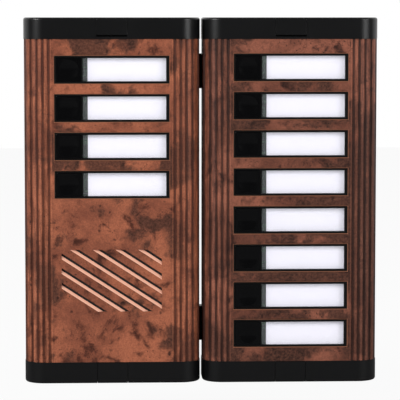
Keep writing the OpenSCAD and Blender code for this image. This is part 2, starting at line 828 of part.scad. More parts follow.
back_box(-1);  // left_back_box
back_box(1);  // right_back_box
box_gaskets();
box_links();
terminal_blocks();
terminal_screws();
link_cable();
cable_grommets();
front_profile(-1);  // left_front_profile
front_profile(1);  // right_front_profile
cap(-1, 1, sill_h);  // left_top_cap
cap(-1, -1, 0);  // left_bottom_cap
cap(1, 1, sill_h);  // right_top_cap
cap(1, -1, 0);  // right_bottom_cap
tab(-1, 1, sill_h + pry_slot);  // left_top_tab
tab(-1, -1, slide_gap);  // left_bottom_tab
tab(1, 1, sill_h + pry_slot);  // right_top_tab
tab(1, -1, slide_gap);  // right_bottom_tab
module_screws(-1);  // left_screws
module_screws(1);  // right_screws
fixing_screws(-1);  // left_fixing_screws
fixing_screws(1);  // right_fixing_screws
color([0.07, 0.07, 0.07]) at_rows(-1) carrier();  // left_button_carriers
color([0.07, 0.07, 0.07]) at_rows(1) carrier();  // right_button_carriers
color([0.8, 0.85, 0.9, 0.4]) at_rows(-1) name_window();  // left_name_windows
color([0.8, 0.85, 0.9, 0.4]) at_rows(1) name_window();  // right_name_windows
color("white") at_rows(-1) name_card();  // left_name_cards
color("white") at_rows(1) name_card();  // right_name_cards
return_springs(-1);  // left_return_springs
return_springs(1);  // right_return_springs
contact_board(-1);  // left_contact_board
contact_board(1);  // right_contact_board
contact_switches(-1);  // left_contact_switches
contact_switches(1);  // right_contact_switches
lamps(-1);  // left_lamps
lamps(1);  // right_lamps
for (n = [1 : left_rows + right_rows]) button(n);
speech_chassis();
grille_membrane();
speaker_gasket();
speaker_basket();
speaker_cone();
speaker_magnet();
microphone();
microphone_boot();
speech_board();
speech_board_parts();
trimmer(1);  // speaker_trimmer
trimmer(-1);  // microphone_trimmer
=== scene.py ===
# %% [markdown]
# # Dressing a door intercom panel
# The panel is two slim modules on a wall: a speech module with four call buttons and an
# extension module with eight. Each has a fluted aluminium front with a copper burl print,
# black end caps and a black box behind it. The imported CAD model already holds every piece
# at its true size, so this lesson only gives the pieces their edges, wires, recesses and
# finishes, and never moves anything.

# %% Load the frame
import math

import bmesh
import bpy
from mathutils import Matrix, Vector


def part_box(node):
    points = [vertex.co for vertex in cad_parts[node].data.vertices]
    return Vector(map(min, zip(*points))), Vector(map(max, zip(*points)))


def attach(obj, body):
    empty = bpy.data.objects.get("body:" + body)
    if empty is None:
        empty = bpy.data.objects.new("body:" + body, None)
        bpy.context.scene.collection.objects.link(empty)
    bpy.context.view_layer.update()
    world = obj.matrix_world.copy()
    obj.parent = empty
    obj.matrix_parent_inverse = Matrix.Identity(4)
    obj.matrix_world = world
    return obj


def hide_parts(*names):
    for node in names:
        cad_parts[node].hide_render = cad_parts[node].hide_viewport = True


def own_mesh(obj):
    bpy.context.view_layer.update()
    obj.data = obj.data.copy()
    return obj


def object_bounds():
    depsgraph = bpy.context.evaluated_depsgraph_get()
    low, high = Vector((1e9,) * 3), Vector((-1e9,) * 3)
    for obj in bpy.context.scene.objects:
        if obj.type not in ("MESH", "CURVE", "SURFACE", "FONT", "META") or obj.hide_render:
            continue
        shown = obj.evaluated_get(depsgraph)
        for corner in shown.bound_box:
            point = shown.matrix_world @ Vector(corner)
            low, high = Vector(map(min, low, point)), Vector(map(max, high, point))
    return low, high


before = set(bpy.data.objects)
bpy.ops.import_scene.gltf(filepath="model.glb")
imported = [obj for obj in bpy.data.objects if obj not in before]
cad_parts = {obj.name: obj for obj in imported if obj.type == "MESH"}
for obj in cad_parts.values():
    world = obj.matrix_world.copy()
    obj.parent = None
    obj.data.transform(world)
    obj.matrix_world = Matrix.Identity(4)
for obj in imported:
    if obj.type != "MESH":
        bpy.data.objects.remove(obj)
cad_box = [list(corner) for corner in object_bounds()]
MM = 0.001
print("CAD box in mm:", [[round(v / MM, 1) for v in corner] for corner in cad_box])

# %% [markdown]
# ## Camera
# A panel is usually shown from a little above and a little to one side, from far off with
# a long lens, so that its edges stay nearly parallel. A wide lens close by would be easier
# to aim, but it would make the nearer module look bigger.

# %% Camera
lens = bpy.data.cameras.new("long_lens")
lens.lens, lens.sensor_width = 194.75, 36.0
lens.clip_start, lens.clip_end = 0.05, 30.0
camera = bpy.data.objects.new("camera", lens)
camera.location = (-0.0602, -1.4525, 0.1209)
camera.rotation_euler = [math.radians(v) for v in (90 - 4.86, 0, -2.40)]
bpy.context.scene.collection.objects.link(camera)
bpy.context.scene.camera = camera
bpy.context.scene.view_settings.view_transform = "Standard"
print("camera at", tuple(round(v, 3) for v in camera.location))

# %% [markdown]
# ## Sizes that everything shares
# The frame knows where each row, board and cap is. Reading those boxes here keeps every
# new piece in its place, whatever size the CAD model has. Only small sizes that no box
# gives, such as a wall or an edge radius, are written out, in millimetres.

# %% Read the sizes from the frame
SIDES = {"left": -1, "right": 1}


def span(node):
    """(lowest, highest) corner of a CAD node, in mm."""
    low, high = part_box(node)
    return low / MM, high / MM


def middle(node):
    """The middle of a CAD node's box, in mm."""
    low, high = span(node)
    return (low + high) / 2


buttons = {side: [] for side in SIDES}
for number in range(1, 13):
    node = f"call_button_{number:02d}"
    buttons["left" if middle(node).x < 0 else "right"].append(node)
MODULE_X = {side: middle(side + "_front_profile").x for side in SIDES}
low, high = span("left_front_profile")
FRONT_Y, REAR_Y, PROFILE_Z, MODULE_W = low.y, high.y, high.z, high.x - low.x
ROW_PITCH = middle(buttons["right"][0]).z - middle(buttons["right"][1]).z
TOP_ROW = {side: middle(buttons[side][0]).z for side in SIDES}
BOARD_Y = span("left_contact_board")[0].y
BOARD_BACK = span("left_contact_board")[1].y
GROOVE_PITCH, GROOVE_START = 3.9, 16.4  # from groove to groove, and from the module's edge
for side in SIDES:
    print(side, "module at x", round(MODULE_X[side], 2), "with", len(buttons[side]), "rows")

# %% [markdown]
# ## Making meshes
# Nearly every part of the panel is a prism, a turned piece or a flat moulding with rounded
# edges. A few small helpers cover them: one draws a prism, one turns a profile, one cuts or
# joins solids, and one lets Blender apply its modifiers and keeps the plain mesh. Operators
# such as bpy.ops would do the same, but they depend on what is selected.

# %% Mesh helpers
def new_object(name, mesh):
    """Links a new object at the origin."""
    obj = bpy.data.objects.new(name, mesh)
    bpy.context.scene.collection.objects.link(obj)
    return obj


def from_bmesh(name, bm):
    """Turns a bmesh into an object with its faces outwards."""
    bmesh.ops.recalc_face_normals(bm, faces=bm.faces[:])
    mesh = bpy.data.meshes.new(name)
    bm.to_mesh(mesh)
    bm.free()
    return new_object(name, mesh)


def prism(name, outline, start, end, axis="Y", between=()):
    """A closed solid: an outline in mm, drawn square to the axis from start to end. Rings
    of edges between the ends keep a later cut from spreading over one huge face."""
    order = {"X": (2, 0, 1), "Y": (0, 2, 1), "Z": (0, 1, 2)}[axis]
    bm = bmesh.new()
    rings = []
    for depth in (start, *between, end):
        points = [(a * MM, b * MM, depth * MM) for a, b in outline]
        rings.append([bm.verts.new([p[i] for i in order]) for p in points])
    bm.faces.new(rings[0])
    bm.faces.new(rings[-1])
    for first, second in zip(rings, rings[1:]):
        for i in range(len(outline)):
            bm.faces.new((first[i - 1], first[i], second[i], second[i - 1]))
    return from_bmesh(name, bm)


def box(name, low, high):
    """A block between two corners in mm."""
    return prism(name, [(low[0], low[2]), (high[0], low[2]), (high[0], high[2]), (low[0], high[2])],
                 low[1], high[1])


def turned(name, profile, centre, sides=32, axis="Y"):
    """A solid of turning: a closed profile of (radius, distance along the axis) in mm."""
    bm = bmesh.new()
    order = {"Y": (0, 2, 1), "Z": (0, 1, 2)}[axis]
    rings = []
    for radius, along in profile:
        count = sides if radius > 0 else 1
        ring = []
        for i in range(count):
            a = 2 * math.pi * i / sides
            p = (radius * math.cos(a), radius * math.sin(a), along)
            ring.append(bm.verts.new((Vector([p[k] for k in order]) + Vector(centre)) * MM))
        rings.append(ring)
    for i, ring in enumerate(rings):
        last = rings[i - 1]
        for k in range(sides):
            corners = [last[k % len(last)], last[(k + 1) % len(last)],
                       ring[(k + 1) % len(ring)], ring[k % len(ring)]]
            corners = list(dict.fromkeys(corners))
            if len(corners) > 2:
                bm.faces.new(corners)
    return from_bmesh(name, bm)


def joined(name, objects):
    """One object out of several; the several are removed."""
    bm = bmesh.new()
    mesh = bpy.data.meshes.new(name)
    for obj in objects:
        for material in filter(None, obj.data.materials):
            if material.name not in mesh.materials:
                mesh.materials.append(material)
    for obj in objects:
        places = [mesh.materials.find(m.name) if m else 0 for m in obj.data.materials]
        first = len(bm.faces)
        bm.from_mesh(obj.data)
        bm.faces.ensure_lookup_table()
        for face in bm.faces[first:]:
            if places:
                face.material_index = places[face.material_index]
        bpy.data.objects.remove(obj)
    bm.to_mesh(mesh)
    bm.free()
    return new_object(name, mesh)


def applied(obj):
    """Applies an object's modifiers and leaves a plain mesh."""
    graph = bpy.context.evaluated_depsgraph_get()
    graph.update()
    mesh = bpy.data.meshes.new_from_object(obj.evaluated_get(graph))
    obj.modifiers.clear()
    obj.data = mesh
    return obj


def carved(obj, cutter):
    """Cuts one solid with another, and removes the cutter."""
    cut = obj.modifiers.new("cut", "BOOLEAN")
    cut.operation, cut.solver, cut.object = "DIFFERENCE", "EXACT", cutter
    applied(obj)
    bpy.data.objects.remove(cutter)
    return obj


def rounded(obj, width, segments=2, angle=40, smooth=35):
    """Rounds an object's sharp edges by width mm, as a mould or a tumbled edge does."""
    bevel = obj.modifiers.new("edges", "BEVEL")
    bevel.width, bevel.segments, bevel.limit_method = width * MM, segments, "ANGLE"
    bevel.angle_limit, bevel.harden_normals = math.radians(angle), False
    bevel.use_clamp_overlap = True
    return softly(plain_faces(applied(obj)), smooth)


def softly(obj, smooth=35):
    """Smooth shading that stays flat on flat faces and turns only over the small edges."""
    obj.data.shade_smooth()
    obj.data.set_sharp_from_angle(angle=math.radians(smooth))
    even = obj.modifiers.new("even_shading", "WEIGHTED_NORMAL")
    even.mode, even.keep_sharp = "FACE_AREA", True
    return applied(obj)


def plain_faces(obj):
    """Splits faces of many corners into triangles, which every renderer fills alike."""
    bm = bmesh.new()
    bm.from_mesh(obj.data)
    bmesh.ops.remove_doubles(bm, verts=bm.verts[:], dist=1e-7)
    bmesh.ops.dissolve_degenerate(bm, edges=bm.edges[:], dist=1e-6)
    bmesh.ops.triangulate(bm, faces=[f for f in bm.faces if len(f.verts) > 4])
    bm.to_mesh(obj.data)
    bm.free()
    return obj


def cad_copy(name, node):
    """A copy of a CAD node with its loose triangles merged into clean faces."""
    bm = bmesh.new()
    bm.from_mesh(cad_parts[node].data)
    bmesh.ops.remove_doubles(bm, verts=bm.verts[:], dist=2e-6)
    bmesh.ops.dissolve_limit(bm, angle_limit=math.radians(0.5), verts=bm.verts[:],
                             edges=bm.edges[:])
    mesh = bpy.data.meshes.new(name)
    bm.to_mesh(mesh)
    bm.free()
    return new_object(name, mesh)


def finish_piece(obj, material, slot, body, *nodes):
    """Gives a piece its finish, its body and the CAD nodes that it stands for."""
    if material is not None:
        obj.data.materials.clear()
        obj.data.materials.append(material)
    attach(obj, body)
    if nodes:
        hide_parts(*nodes)
    print(obj.name, "rides on", body, "with", len(obj.data.polygons), "faces")
    return obj


# %% [markdown]
# ## Making materials
# A material is a small tree of nodes round one Principled shader. One helper adds a node
# with its settings and links. Colours are written as the hex values that a paint chart
# gives, and one function turns them to the linear values that the renderer works in.

# %% Material helpers
def linear(code):
    """An sRGB hex colour as linear RGBA."""
    parts = [int(code[i:i + 2], 16) / 255 for i in (1, 3, 5)]
    return [p / 12.92 if p <= 0.04045 else ((p + 0.055) / 1.055) ** 2.4 for p in parts] + [1]


def add(tree, kind, inputs=None, **settings):
    """Adds a node: settings are its properties, inputs its values, hex colours or links."""
    node = tree.nodes.new(kind)
    for key, value in settings.items():
        setattr(node, key, value)
    for key, value in (inputs or {}).items():
        if isinstance(value, bpy.types.NodeSocket):
            tree.links.new(value, node.inputs[key])
        else:
            is_hex = isinstance(value, str) and value.startswith("#")
            node.inputs[key].default_value = linear(value) if is_hex else value
    return node


def finish(name, colour, roughness, **more):
    """A new material with one Principled shader: returns it, its tree and the shader."""
    material = bpy.data.materials.new(name)
    material.use_nodes = True
    tree = material.node_tree
    shader = tree.nodes["Principled BSDF"]
    shader.inputs["Base Color"].default_value = linear(colour)
    shader.inputs["Roughness"].default_value = roughness
    for key, value in more.items():
        shader.inputs[key.replace("_", " ")].default_value = value
    return material, tree, shader


def per_mm(size):
    """The texture scale at which one feature of a pattern is size mm across."""
    return 1 / (size * MM)


# Settings that many nodes share: a soft step from 0 to 1, and a mix of two colours
SOFT = {"interpolation_type": "SMOOTHSTEP"}
BLEND = {"data_type": "RGBA"}
FULL_TURN = 6.28

# %% [markdown]
# ## The copper burl print
# The fronts are extruded aluminium with a printed film under a thin clear lacquer. The
# print copies polished burl: clouds of copper and brown, darker mottled patches, thin
# curved veins and small knots. An image would be the easy way, but noise in millimetres
# keeps its detail at any distance. The clouds and patches share one warped position, so
# that they flow together, and each front was printed from its own piece of film.

# %% Copper burl print
def copper_print(name, shift, centre_x, light, mid, dark, patch_level):
    """The printed film: the colours are its light, middle and dark tones."""
    material, tree, shader = finish(name, mid, 0.42, Specular_IOR_Level=0.3)
    here = add(tree, "ShaderNodeTexCoord").outputs["Object"]
    place = add(tree, "ShaderNodeMapping", {"Vector": here, "Location": shift}).outputs[0]
    bend = add(tree, "ShaderNodeTexNoise",
               {"Vector": place, "Scale": per_mm(26), "Detail": 3}).outputs["Color"]
    bend = add(tree, "ShaderNodeVectorMath", {0: bend, 1: (0.5, 0.5, 0.5)},
               operation="SUBTRACT").outputs[0]
    flow = add(tree, "ShaderNodeVectorMath", {0: bend, 1: (0.022, 0.022, 0.022), 2: place},
               operation="MULTIPLY_ADD").outputs[0]

    # The film is drawn down the fluted corners, which pulls its pattern long
    drawn = add(tree, "ShaderNodeMapping", {"Vector": place, "Scale": (1, 1, 0.09)}).outputs[0]

    # Noises: where each is read, its size in mm, its detail and its roughness
    field = {}
    for key, where, size, detail, rough in (
            ("cloud", flow, 30, 5, 0.55), ("shade", flow, 9, 4, 0.6),
            ("patch", flow, 44, 7, 0.62), ("grain", place, 1.5, 3, 0.7),
            ("vein", flow, 20, 4, 0.62), ("broken", place, 12, 2, 0.5),
            ("speck", place, 1.1, 2, 0.55), ("near", flow, 24, 5, 0.6),
            ("streak", drawn, 1.9, 3, 0.6), ("fleck", place, 0.9, 2, 0.6),
            ("gloss", place, 2.5, 3, 0.6), ("ripple", place, 1.2, 2, 0.5)):
        field[key] = add(tree, "ShaderNodeTexNoise", {
            "Vector": where, "Scale": per_mm(size), "Detail": detail, "Roughness": rough
        }).outputs[0]

    # Distances: to a vein's line, a knot, the module's middle and the middle of a groove.
    # A vein lies where its noise crosses the middle value, and only some cells have a knot.
    cell = add(tree, "ShaderNodeTexVoronoi", {"Vector": flow, "Scale": per_mm(9)}).outputs
    field["knot"] = cell["Distance"]
    field["some"] = add(tree, "ShaderNodeSeparateColor", {"Color": cell["Color"]}).outputs[0]
    field["across"] = add(tree, "ShaderNodeSeparateXYZ", {0: here}).outputs[0]
    first = MODULE_W / 2 - GROOVE_START
    for key, source, operation, amount in (
            ("vein", "vein", "SUBTRACT", 0.5), ("vein", "vein", "ABSOLUTE", 0),
            ("across", "across", "SUBTRACT", centre_x * MM), ("across", "across", "ABSOLUTE", 0),
            ("groove", "across", "SUBTRACT", (first - GROOVE_PITCH / 2) * MM),
            ("groove", "groove", "WRAP", GROOVE_PITCH * MM),
            ("groove", "groove", "SUBTRACT", GROOVE_PITCH / 2 * MM),
            ("groove", "groove", "ABSOLUTE", 0)):
        field[key] = add(tree, "ShaderNodeMath", {0: field[source], 1: amount, 2: 0},
                         operation=operation).outputs[0]

    # Masks: what each is cut from, and the levels at which it is off and fully on
    mask = {}
    for key, source, off, on in (
            ("cloud", "cloud", 0.36, 0.62), ("shade", "shade", 0.5, 0.72),
            ("patch", "patch", patch_level, patch_level + 0.075),
            ("grain", "grain", 0.36, 0.66), ("vein", "vein", 0.014, 0.0),
            ("broken", "broken", 0.45, 0.6), ("knot", "knot", 0.17, 0.06),
            ("some", "some", 0.5, 0.62), ("speck", "speck", 0.62, 0.7),
            ("near", "near", 0.46, 0.6), ("streak", "streak", 0.42, 0.62),
            ("corner", "across", 0.037, 0.043),
            ("fluted", "across", (first - 1.9) * MM, (first - 1.7) * MM),
            # The groove mask lays painted shade in the grooves, the crest mask a painted highlight
            # on the crests
            ("groove", "groove", 0.8 * MM, 0.35 * MM), ("painted_crest_highlight", "groove", 0.9 * MM, 1.4 * MM),
            ("fleck", "fleck", 0.3, 0.75)):
        mask[key] = add(tree, "ShaderNodeMapRange", {
            "Value": field[source], "From Min": off, "From Max": on}, **SOFT).outputs["Result"]
    coarse, fine = [
        add(tree, "ShaderNodeMix", {0: mask[key], 6: low, 7: high}, **BLEND).outputs[2]
        for key, low, high in (("grain", "#26140E", "#5E3A2C"), ("fleck", "#D8D8D8", "#FFFFFF"))]

    # Layers from the bottom up: colour, how it is laid on, and the masks that share its
    # strength. The grooves are darkened with painted shade and the crests lightened with a
    # painted highlight.
    colour = mid
    for tone, how, *strength in (
            (light, "MIX", "cloud"), (dark, "MIX", "shade"), (coarse, "MIX", "patch", 0.82),
            ("#4A2418", "MIX", "vein", "broken", 0.55), ("#2A120C", "MIX", "knot", "some", 0.7),
            ("#1E0E0A", "MIX", "speck", "near"), (dark, "MIX", "streak", "corner", 0.7),
            (dark, "MIX", "groove", "fluted", 0.8), (light, "SCREEN", "painted_crest_highlight", "fluted", 0.25),
            (fine, "MULTIPLY", 1.0)):
        amount, *others = [mask.get(part, part) for part in strength]
        for other in others:
            amount = add(tree, "ShaderNodeMath", {0: amount, 1: other},
                         operation="MULTIPLY").outputs[0]
        colour = add(tree, "ShaderNodeMix", {0: amount, 6: colour, 7: tone}, **BLEND,
                     blend_type=how).outputs[2]
    tree.links.new(colour, shader.inputs["Base Color"])
    rough = add(tree, "ShaderNodeMapRange", {"Value": field["gloss"],
                                             "To Min": 0.36, "To Max": 0.52}).outputs["Result"]
    tree.links.new(rough, shader.inputs["Roughness"])
    bump = add(tree, "ShaderNodeBump", {"Height": field["ripple"], "Strength": 0.08,
                                        "Distance": 0.0001}).outputs[0]
    tree.links.new(bump, shader.inputs["Normal"])
    return material


# The right front is given darker tones than the left
PRINT = {
    "left": copper_print("copper_burl_film_speech", (0.31, 0.0, 0.12), MODULE_X["left"],
                         "#AE6446", "#874A34", "#4E2416", 0.505),
    "right": copper_print("copper_burl_film_buttons", (0.93, 0.2, 0.55), MODULE_X["right"],
                          "#955843", "#6C3D2D", "#311710", 0.465),
}
# Cut edges show the film's bright copper ground coat, which catches the light. The louvre
# lips are given a near-white pink that is partly this coat and partly a painted highlight
# of the light on their upward slope.
CUT_EDGE, _, _ = finish("bright_copper_cut_edge", "#8C5A42", 0.4)
LIP_AND_PAINTED_HIGHLIGHT, _, _ = finish("bare_copper_louvre_lip_painted_highlight", "#FFC2A6", 0.35)
print("copper film:", [m.name for m in PRINT.values()])

# %% [markdown]
# ## The fluted front shells
# The real shell is one aluminium extrusion: a flat plate that turns into its sides round
# two wide corners, with five round grooves along each corner. It could be a block with
# Array and Boolean modifiers, but a profile drawn point by point keeps the crests between
# the grooves softly rounded, as a die leaves them. The openings come after, as they do in
# the factory: one Geometry Nodes tree repeats the row cutter at the row pitch and the
# louvre cutter along its slope, and takes both out of the shell.

# %% Profile of the extrusion
CORNER_R = 13.0
PLATE_T, SIDE_T = 2.0, 2.6
GROOVE_R, GROOVE_OUT, GROOVES = 1.0, 0.1, 5
GROOVE_STEP = 0.16


def groove_depth(offset):
    """Depth of a groove at a distance from its middle, with its lips softened."""
    total = 0.0
    for shift in (-0.24, -0.12, 0.0, 0.12, 0.24):
        t = offset + shift
        total += max(0.0, math.sqrt(max(0.0, GROOVE_R ** 2 - t * t)) - GROOVE_OUT)
    return total / 5


def outer_half():
    """Half of the outer line from the middle of the plate to the rear edge."""
    flat = MODULE_W / 2 - CORNER_R
    arc = CORNER_R * math.pi / 2
    centres = []
    for i in range(GROOVES):
        inset = GROOVE_START - i * GROOVE_PITCH
        if inset >= CORNER_R:
            centres.append(MODULE_W / 2 - inset)
        else:
            centres.append(flat + CORNER_R * math.asin((CORNER_R - inset) / CORNER_R))
    first = centres[0] - 1.6
    steps = int((flat + arc - first) / GROOVE_STEP)
    stations = [0.0] + [first + (flat + arc - first) * i / steps for i in range(steps + 1)]
    points = []
    for s in stations:
        depth = sum(groove_depth(s - c) for c in centres)
        if s <= flat:
            points.append((s, FRONT_Y + depth))
        else:
            a, r = (s - flat) / CORNER_R, CORNER_R - depth
            points.append((flat + r * math.sin(a), FRONT_Y + CORNER_R - r * math.cos(a)))
    points.append((MODULE_W / 2, REAR_Y - 0.4))
    points.append((MODULE_W / 2 - 0.4, REAR_Y))
    return points


def inner_half():
    """Half of the inner line from the rear edge to the plate, with the board guides."""
    wall, r = MODULE_W / 2 - SIDE_T, CORNER_R - SIDE_T
    guide_w, guide_t, gap = 2.0, 1.5, 0.15
    points = [(wall + 0.4, REAR_Y), (wall, REAR_Y - 0.4)]
    for front in (BOARD_BACK + gap, BOARD_Y - gap - guide_t):
        for y, x in ((front + guide_t, wall), (front + guide_t, wall - guide_w),
                     (front, wall - guide_w), (front, wall)):
            points.append((x, y))
    for i in range(13):
        a = math.pi / 2 * (1 - i / 12)
        points.append((wall - r + r * math.sin(a), FRONT_Y + CORNER_R - r * math.cos(a)))
    return points


half = outer_half()
section = [(-x, y) for x, y in reversed(half[1:])] + half
half = inner_half()
section += half + [(-x, y) for x, y in reversed(half)]
print("extrusion profile:", len(section), "points")

# %% Cutters
OPENING_W, OPENING_H = [2 * v for v in (37.5, 9.0)]
FIELD = middle("grille_membrane")
FIELD_LOW, FIELD_HIGH = span("grille_membrane")
LOUVRE_TURN, LOUVRE_PITCH, LOUVRE_SHIFT, LOUVRE_COUNT = 33.0, 8.1, 3.9, 7
LOUVRE_W, LOUVRE_OPEN, FIELD_INSET = 3.3, 1.6, 1.5


def row_cutter():
    """The opening of one row, with a fine chamfer where the tool broke the edge."""
    w, h, chamfer, out = OPENING_W / 2, OPENING_H / 2, 0.35, 1.0
    bm = bmesh.new()
    rings = []
    for grow, y in ((chamfer + out, FRONT_Y - out), (0.0, FRONT_Y + chamfer),
                    (0.0, FRONT_Y + PLATE_T + out)):
        corners = ((-1, -1), (1, -1), (1, 1), (-1, 1))
        rings.append([bm.verts.new(Vector((a * (w + grow), y, b * (h + grow))) * MM)
                      for a, b in corners])
    for first, second in zip(rings, rings[1:]):
        for i in range(4):
            bm.faces.new((first[i - 1], first[i], second[i], second[i - 1]))
    bm.faces.new(rings[0])
    bm.faces.new(rings[-1])
    obj = from_bmesh("row_cutter", bm)
    obj.data.materials.append(CUT_EDGE)
    return obj


def louvre_cutter():
    """One long louvre slot through the middle of the field: a straight upper side and a
    lip that slopes in from the lower side."""
    out, half = 1.0, LOUVRE_W / 2
    profile = [(-half, FRONT_Y - out), (half, FRONT_Y - out), (half, FRONT_Y + PLATE_T + out),
               (half - LOUVRE_OPEN, FRONT_Y + PLATE_T + out),
               (half - LOUVRE_OPEN, FRONT_Y + PLATE_T), (-half, FRONT_Y)]
    obj = prism("louvre_cutter", profile, -60, 60, axis="Z")
    obj.data.materials.append(CUT_EDGE)
    # The sloped lip faces take the lip finish, whose pale colour holds a painted highlight
    obj.data.materials.append(LIP_AND_PAINTED_HIGHLIGHT)
    for face in obj.data.polygons:
        if face.normal.x < -0.2 and abs(face.normal.y) > 0.2 and abs(face.normal.z) < 0.1:
            face.material_index = 1
    turn = Matrix.Rotation(math.radians(LOUVRE_TURN - 90), 4, "Y")
    obj.data.transform(turn)
    return obj


print("opening", OPENING_W, "by", OPENING_H, "mm; louvre field centre", tuple(FIELD))

# %% The tree that opens the shell
def socket(tree, name, kind, way="INPUT"):
    """A named input or output of a Geometry Nodes tree."""
    return tree.interface.new_socket(name=name, in_out=way, socket_type="NodeSocket" + kind)


def new_tree(name, inputs):
    """A Geometry Nodes tree with a geometry input and output and these named inputs."""
    tree = bpy.data.node_groups.new(name, "GeometryNodeTree")
    socket(tree, "Geometry", "Geometry")
    for key, kind in inputs:
        socket(tree, key, kind)
    socket(tree, "Geometry", "Geometry", "OUTPUT")
    return tree, add(tree, "NodeGroupInput").outputs, add(tree, "NodeGroupOutput")


def end_tree(tree, geometry, material, result, **chosen):
    """Ends a tree: its instances are made real and its finish is set."""
    real = add(tree, "GeometryNodeRealizeInstances", {"Geometry": geometry}).outputs[0]
    coated = add(tree, "GeometryNodeSetMaterial",
                 {"Geometry": real, "Material": material, **chosen})
    tree.links.new(coated.outputs[0], result.inputs[0])


def grown(obj, tree, values):
    """Runs a tree on an object with these inputs and keeps the plain mesh."""
    modifier = obj.modifiers.new(tree.name, "NODES")
    modifier.node_group = tree
    for item in tree.interface.items_tree:
        if item.in_out == "INPUT" and item.name in values:
            modifier[item.identifier] = values[item.name]
    return applied(obj)


opener, given, result = new_tree("open_the_front", [
    ("Row cutter", "Object"), ("Rows", "Int"), ("Row pitch", "Float"), ("Top row", "Vector"),
    ("Louvre cutter", "Object"), ("Louvres", "Int"), ("Louvre step", "Vector"),
    ("First louvre", "Vector"), ("Field", "Object"), ("Film", "Material")])
down = add(opener, "ShaderNodeCombineXYZ", {"Z": given["Row pitch"]}).outputs[0]
down = add(opener, "ShaderNodeVectorMath", {0: down, 1: (0, 0, -1)},
           operation="MULTIPLY").outputs[0]


def repeat_along(count, first, step, cutter):
    """Copies of a cutter object on a straight line, made real."""
    line = add(opener, "GeometryNodeMeshLine",
               {"Count": count, "Start Location": first, "Offset": step}).outputs[0]
    source = add(opener, "GeometryNodeObjectInfo", {"Object": cutter}).outputs["Geometry"]
    copies = add(opener, "GeometryNodeInstanceOnPoints", {"Points": line, "Instance": source})
    return add(opener, "GeometryNodeRealizeInstances", {"Geometry": copies.outputs[0]}).outputs[0]


row_holes = repeat_along(given["Rows"], given["Top row"], down, given["Row cutter"])
slots = repeat_along(given["Louvres"], given["First louvre"], given["Louvre step"],
                     given["Louvre cutter"])
field = add(opener, "GeometryNodeObjectInfo", {"Object": given["Field"]}).outputs["Geometry"]
trim = add(opener, "GeometryNodeMeshBoolean", operation="INTERSECT")
opener.links.new(slots, trim.inputs["Mesh 2"])
opener.links.new(field, trim.inputs["Mesh 2"])
punch = add(opener, "GeometryNodeMeshBoolean", {"Mesh 1": given["Geometry"]},
            operation="DIFFERENCE")
opener.links.new(row_holes, punch.inputs["Mesh 2"])
opener.links.new(trim.outputs[0], punch.inputs["Mesh 2"])
printed = add(opener, "GeometryNodeMaterialSelection", {"Material": given["Film"]}).outputs[0]
end_tree(opener, punch.outputs[0], given["Film"], result, Selection=printed)
print("opening tree has", len(opener.nodes), "nodes")

# %% Press the shells and open them
for side in SIDES:
    bands = [TOP_ROW[side] - (i + 0.5) * ROW_PITCH for i in range(len(buttons[side]))][::-1]
    shell = prism(side + "_front_shell", section, -PROFILE_Z, PROFILE_Z, "Z", bands)
    shell.data.transform(Matrix.Translation((MODULE_X[side] * MM, 0, 0)))
    shell.data.materials.append(PRINT[side])
    row, louvre = row_cutter(), louvre_cutter()
    slab = box("field_block", (FIELD_LOW.x + FIELD_INSET, FRONT_Y - 3, FIELD_LOW.z + FIELD_INSET),
               (FIELD_HIGH.x - FIELD_INSET, FRONT_Y + 6, FIELD_HIGH.z - FIELD_INSET))
    slope = math.radians(90 - LOUVRE_TURN)
    along = Vector((math.cos(slope), 0, math.sin(slope)))
    middle_shift = LOUVRE_SHIFT - (LOUVRE_COUNT - 1) / 2 * LOUVRE_PITCH
    grown(shell, opener, {
        "Row cutter": row, "Rows": len(buttons[side]), "Row pitch": ROW_PITCH * MM,
        "Top row": Vector((MODULE_X[side], 0, TOP_ROW[side])) * MM,
        "Louvre cutter": louvre, "Louvres": LOUVRE_COUNT if side == "left" else 0,
        "Louvre step": along * LOUVRE_PITCH * MM,
        "First louvre": (Vector((FIELD.x, 0, FIELD.z)) + along * middle_shift) * MM,
        "Field": slab, "Film": PRINT[side]})
    for tool in (row, louvre, slab):
        bpy.data.objects.remove(tool)
    softly(plain_faces(shell), 32)
    finish_piece(shell, None, "copper_print", side + "_front", side + "_front_profile")

# %% [markdown]
# ## Moulded plastics
# Caps, boxes, carriers and buttons are injection moulded. A mould leaves a very fine even
# grain on satin parts and next to none on polished ones, and every edge has a small
# radius that draws a thin highlight. Satin parts get a shallow bump from noise at a grain
# of about a millimetre, coarser than the real one, which would vanish at this distance.

# %% Plastics, rubber and foam
def moulded(name, colour, roughness, grain=1.0, depth=0.05, **more):
    """A moulded finish: grain is the size of its texture in mm, depth how deep it looks."""
    material, tree, shader = finish(name, colour, roughness, **more)
    place = add(tree, "ShaderNodeTexCoord").outputs["Object"]
    noise = add(tree, "ShaderNodeTexNoise", {"Vector": place, "Scale": per_mm(grain),
                                             "Detail": 3}).outputs[0]
    wear = add(tree, "ShaderNodeTexNoise", {"Vector": place, "Scale": per_mm(35),
                                            "Detail": 4}).outputs[0]
    rough = add(tree, "ShaderNodeMapRange", {"Value": wear, "To Min": roughness * 0.85,
                                             "To Max": roughness * 1.2}).outputs["Result"]
    tree.links.new(rough, shader.inputs["Roughness"])
    bump = add(tree, "ShaderNodeBump", {"Height": noise, "Strength": depth * 2,
                                        "Distance": grain * MM * 0.1}).outputs[0]
    tree.links.new(bump, shader.inputs["Normal"])
    return material


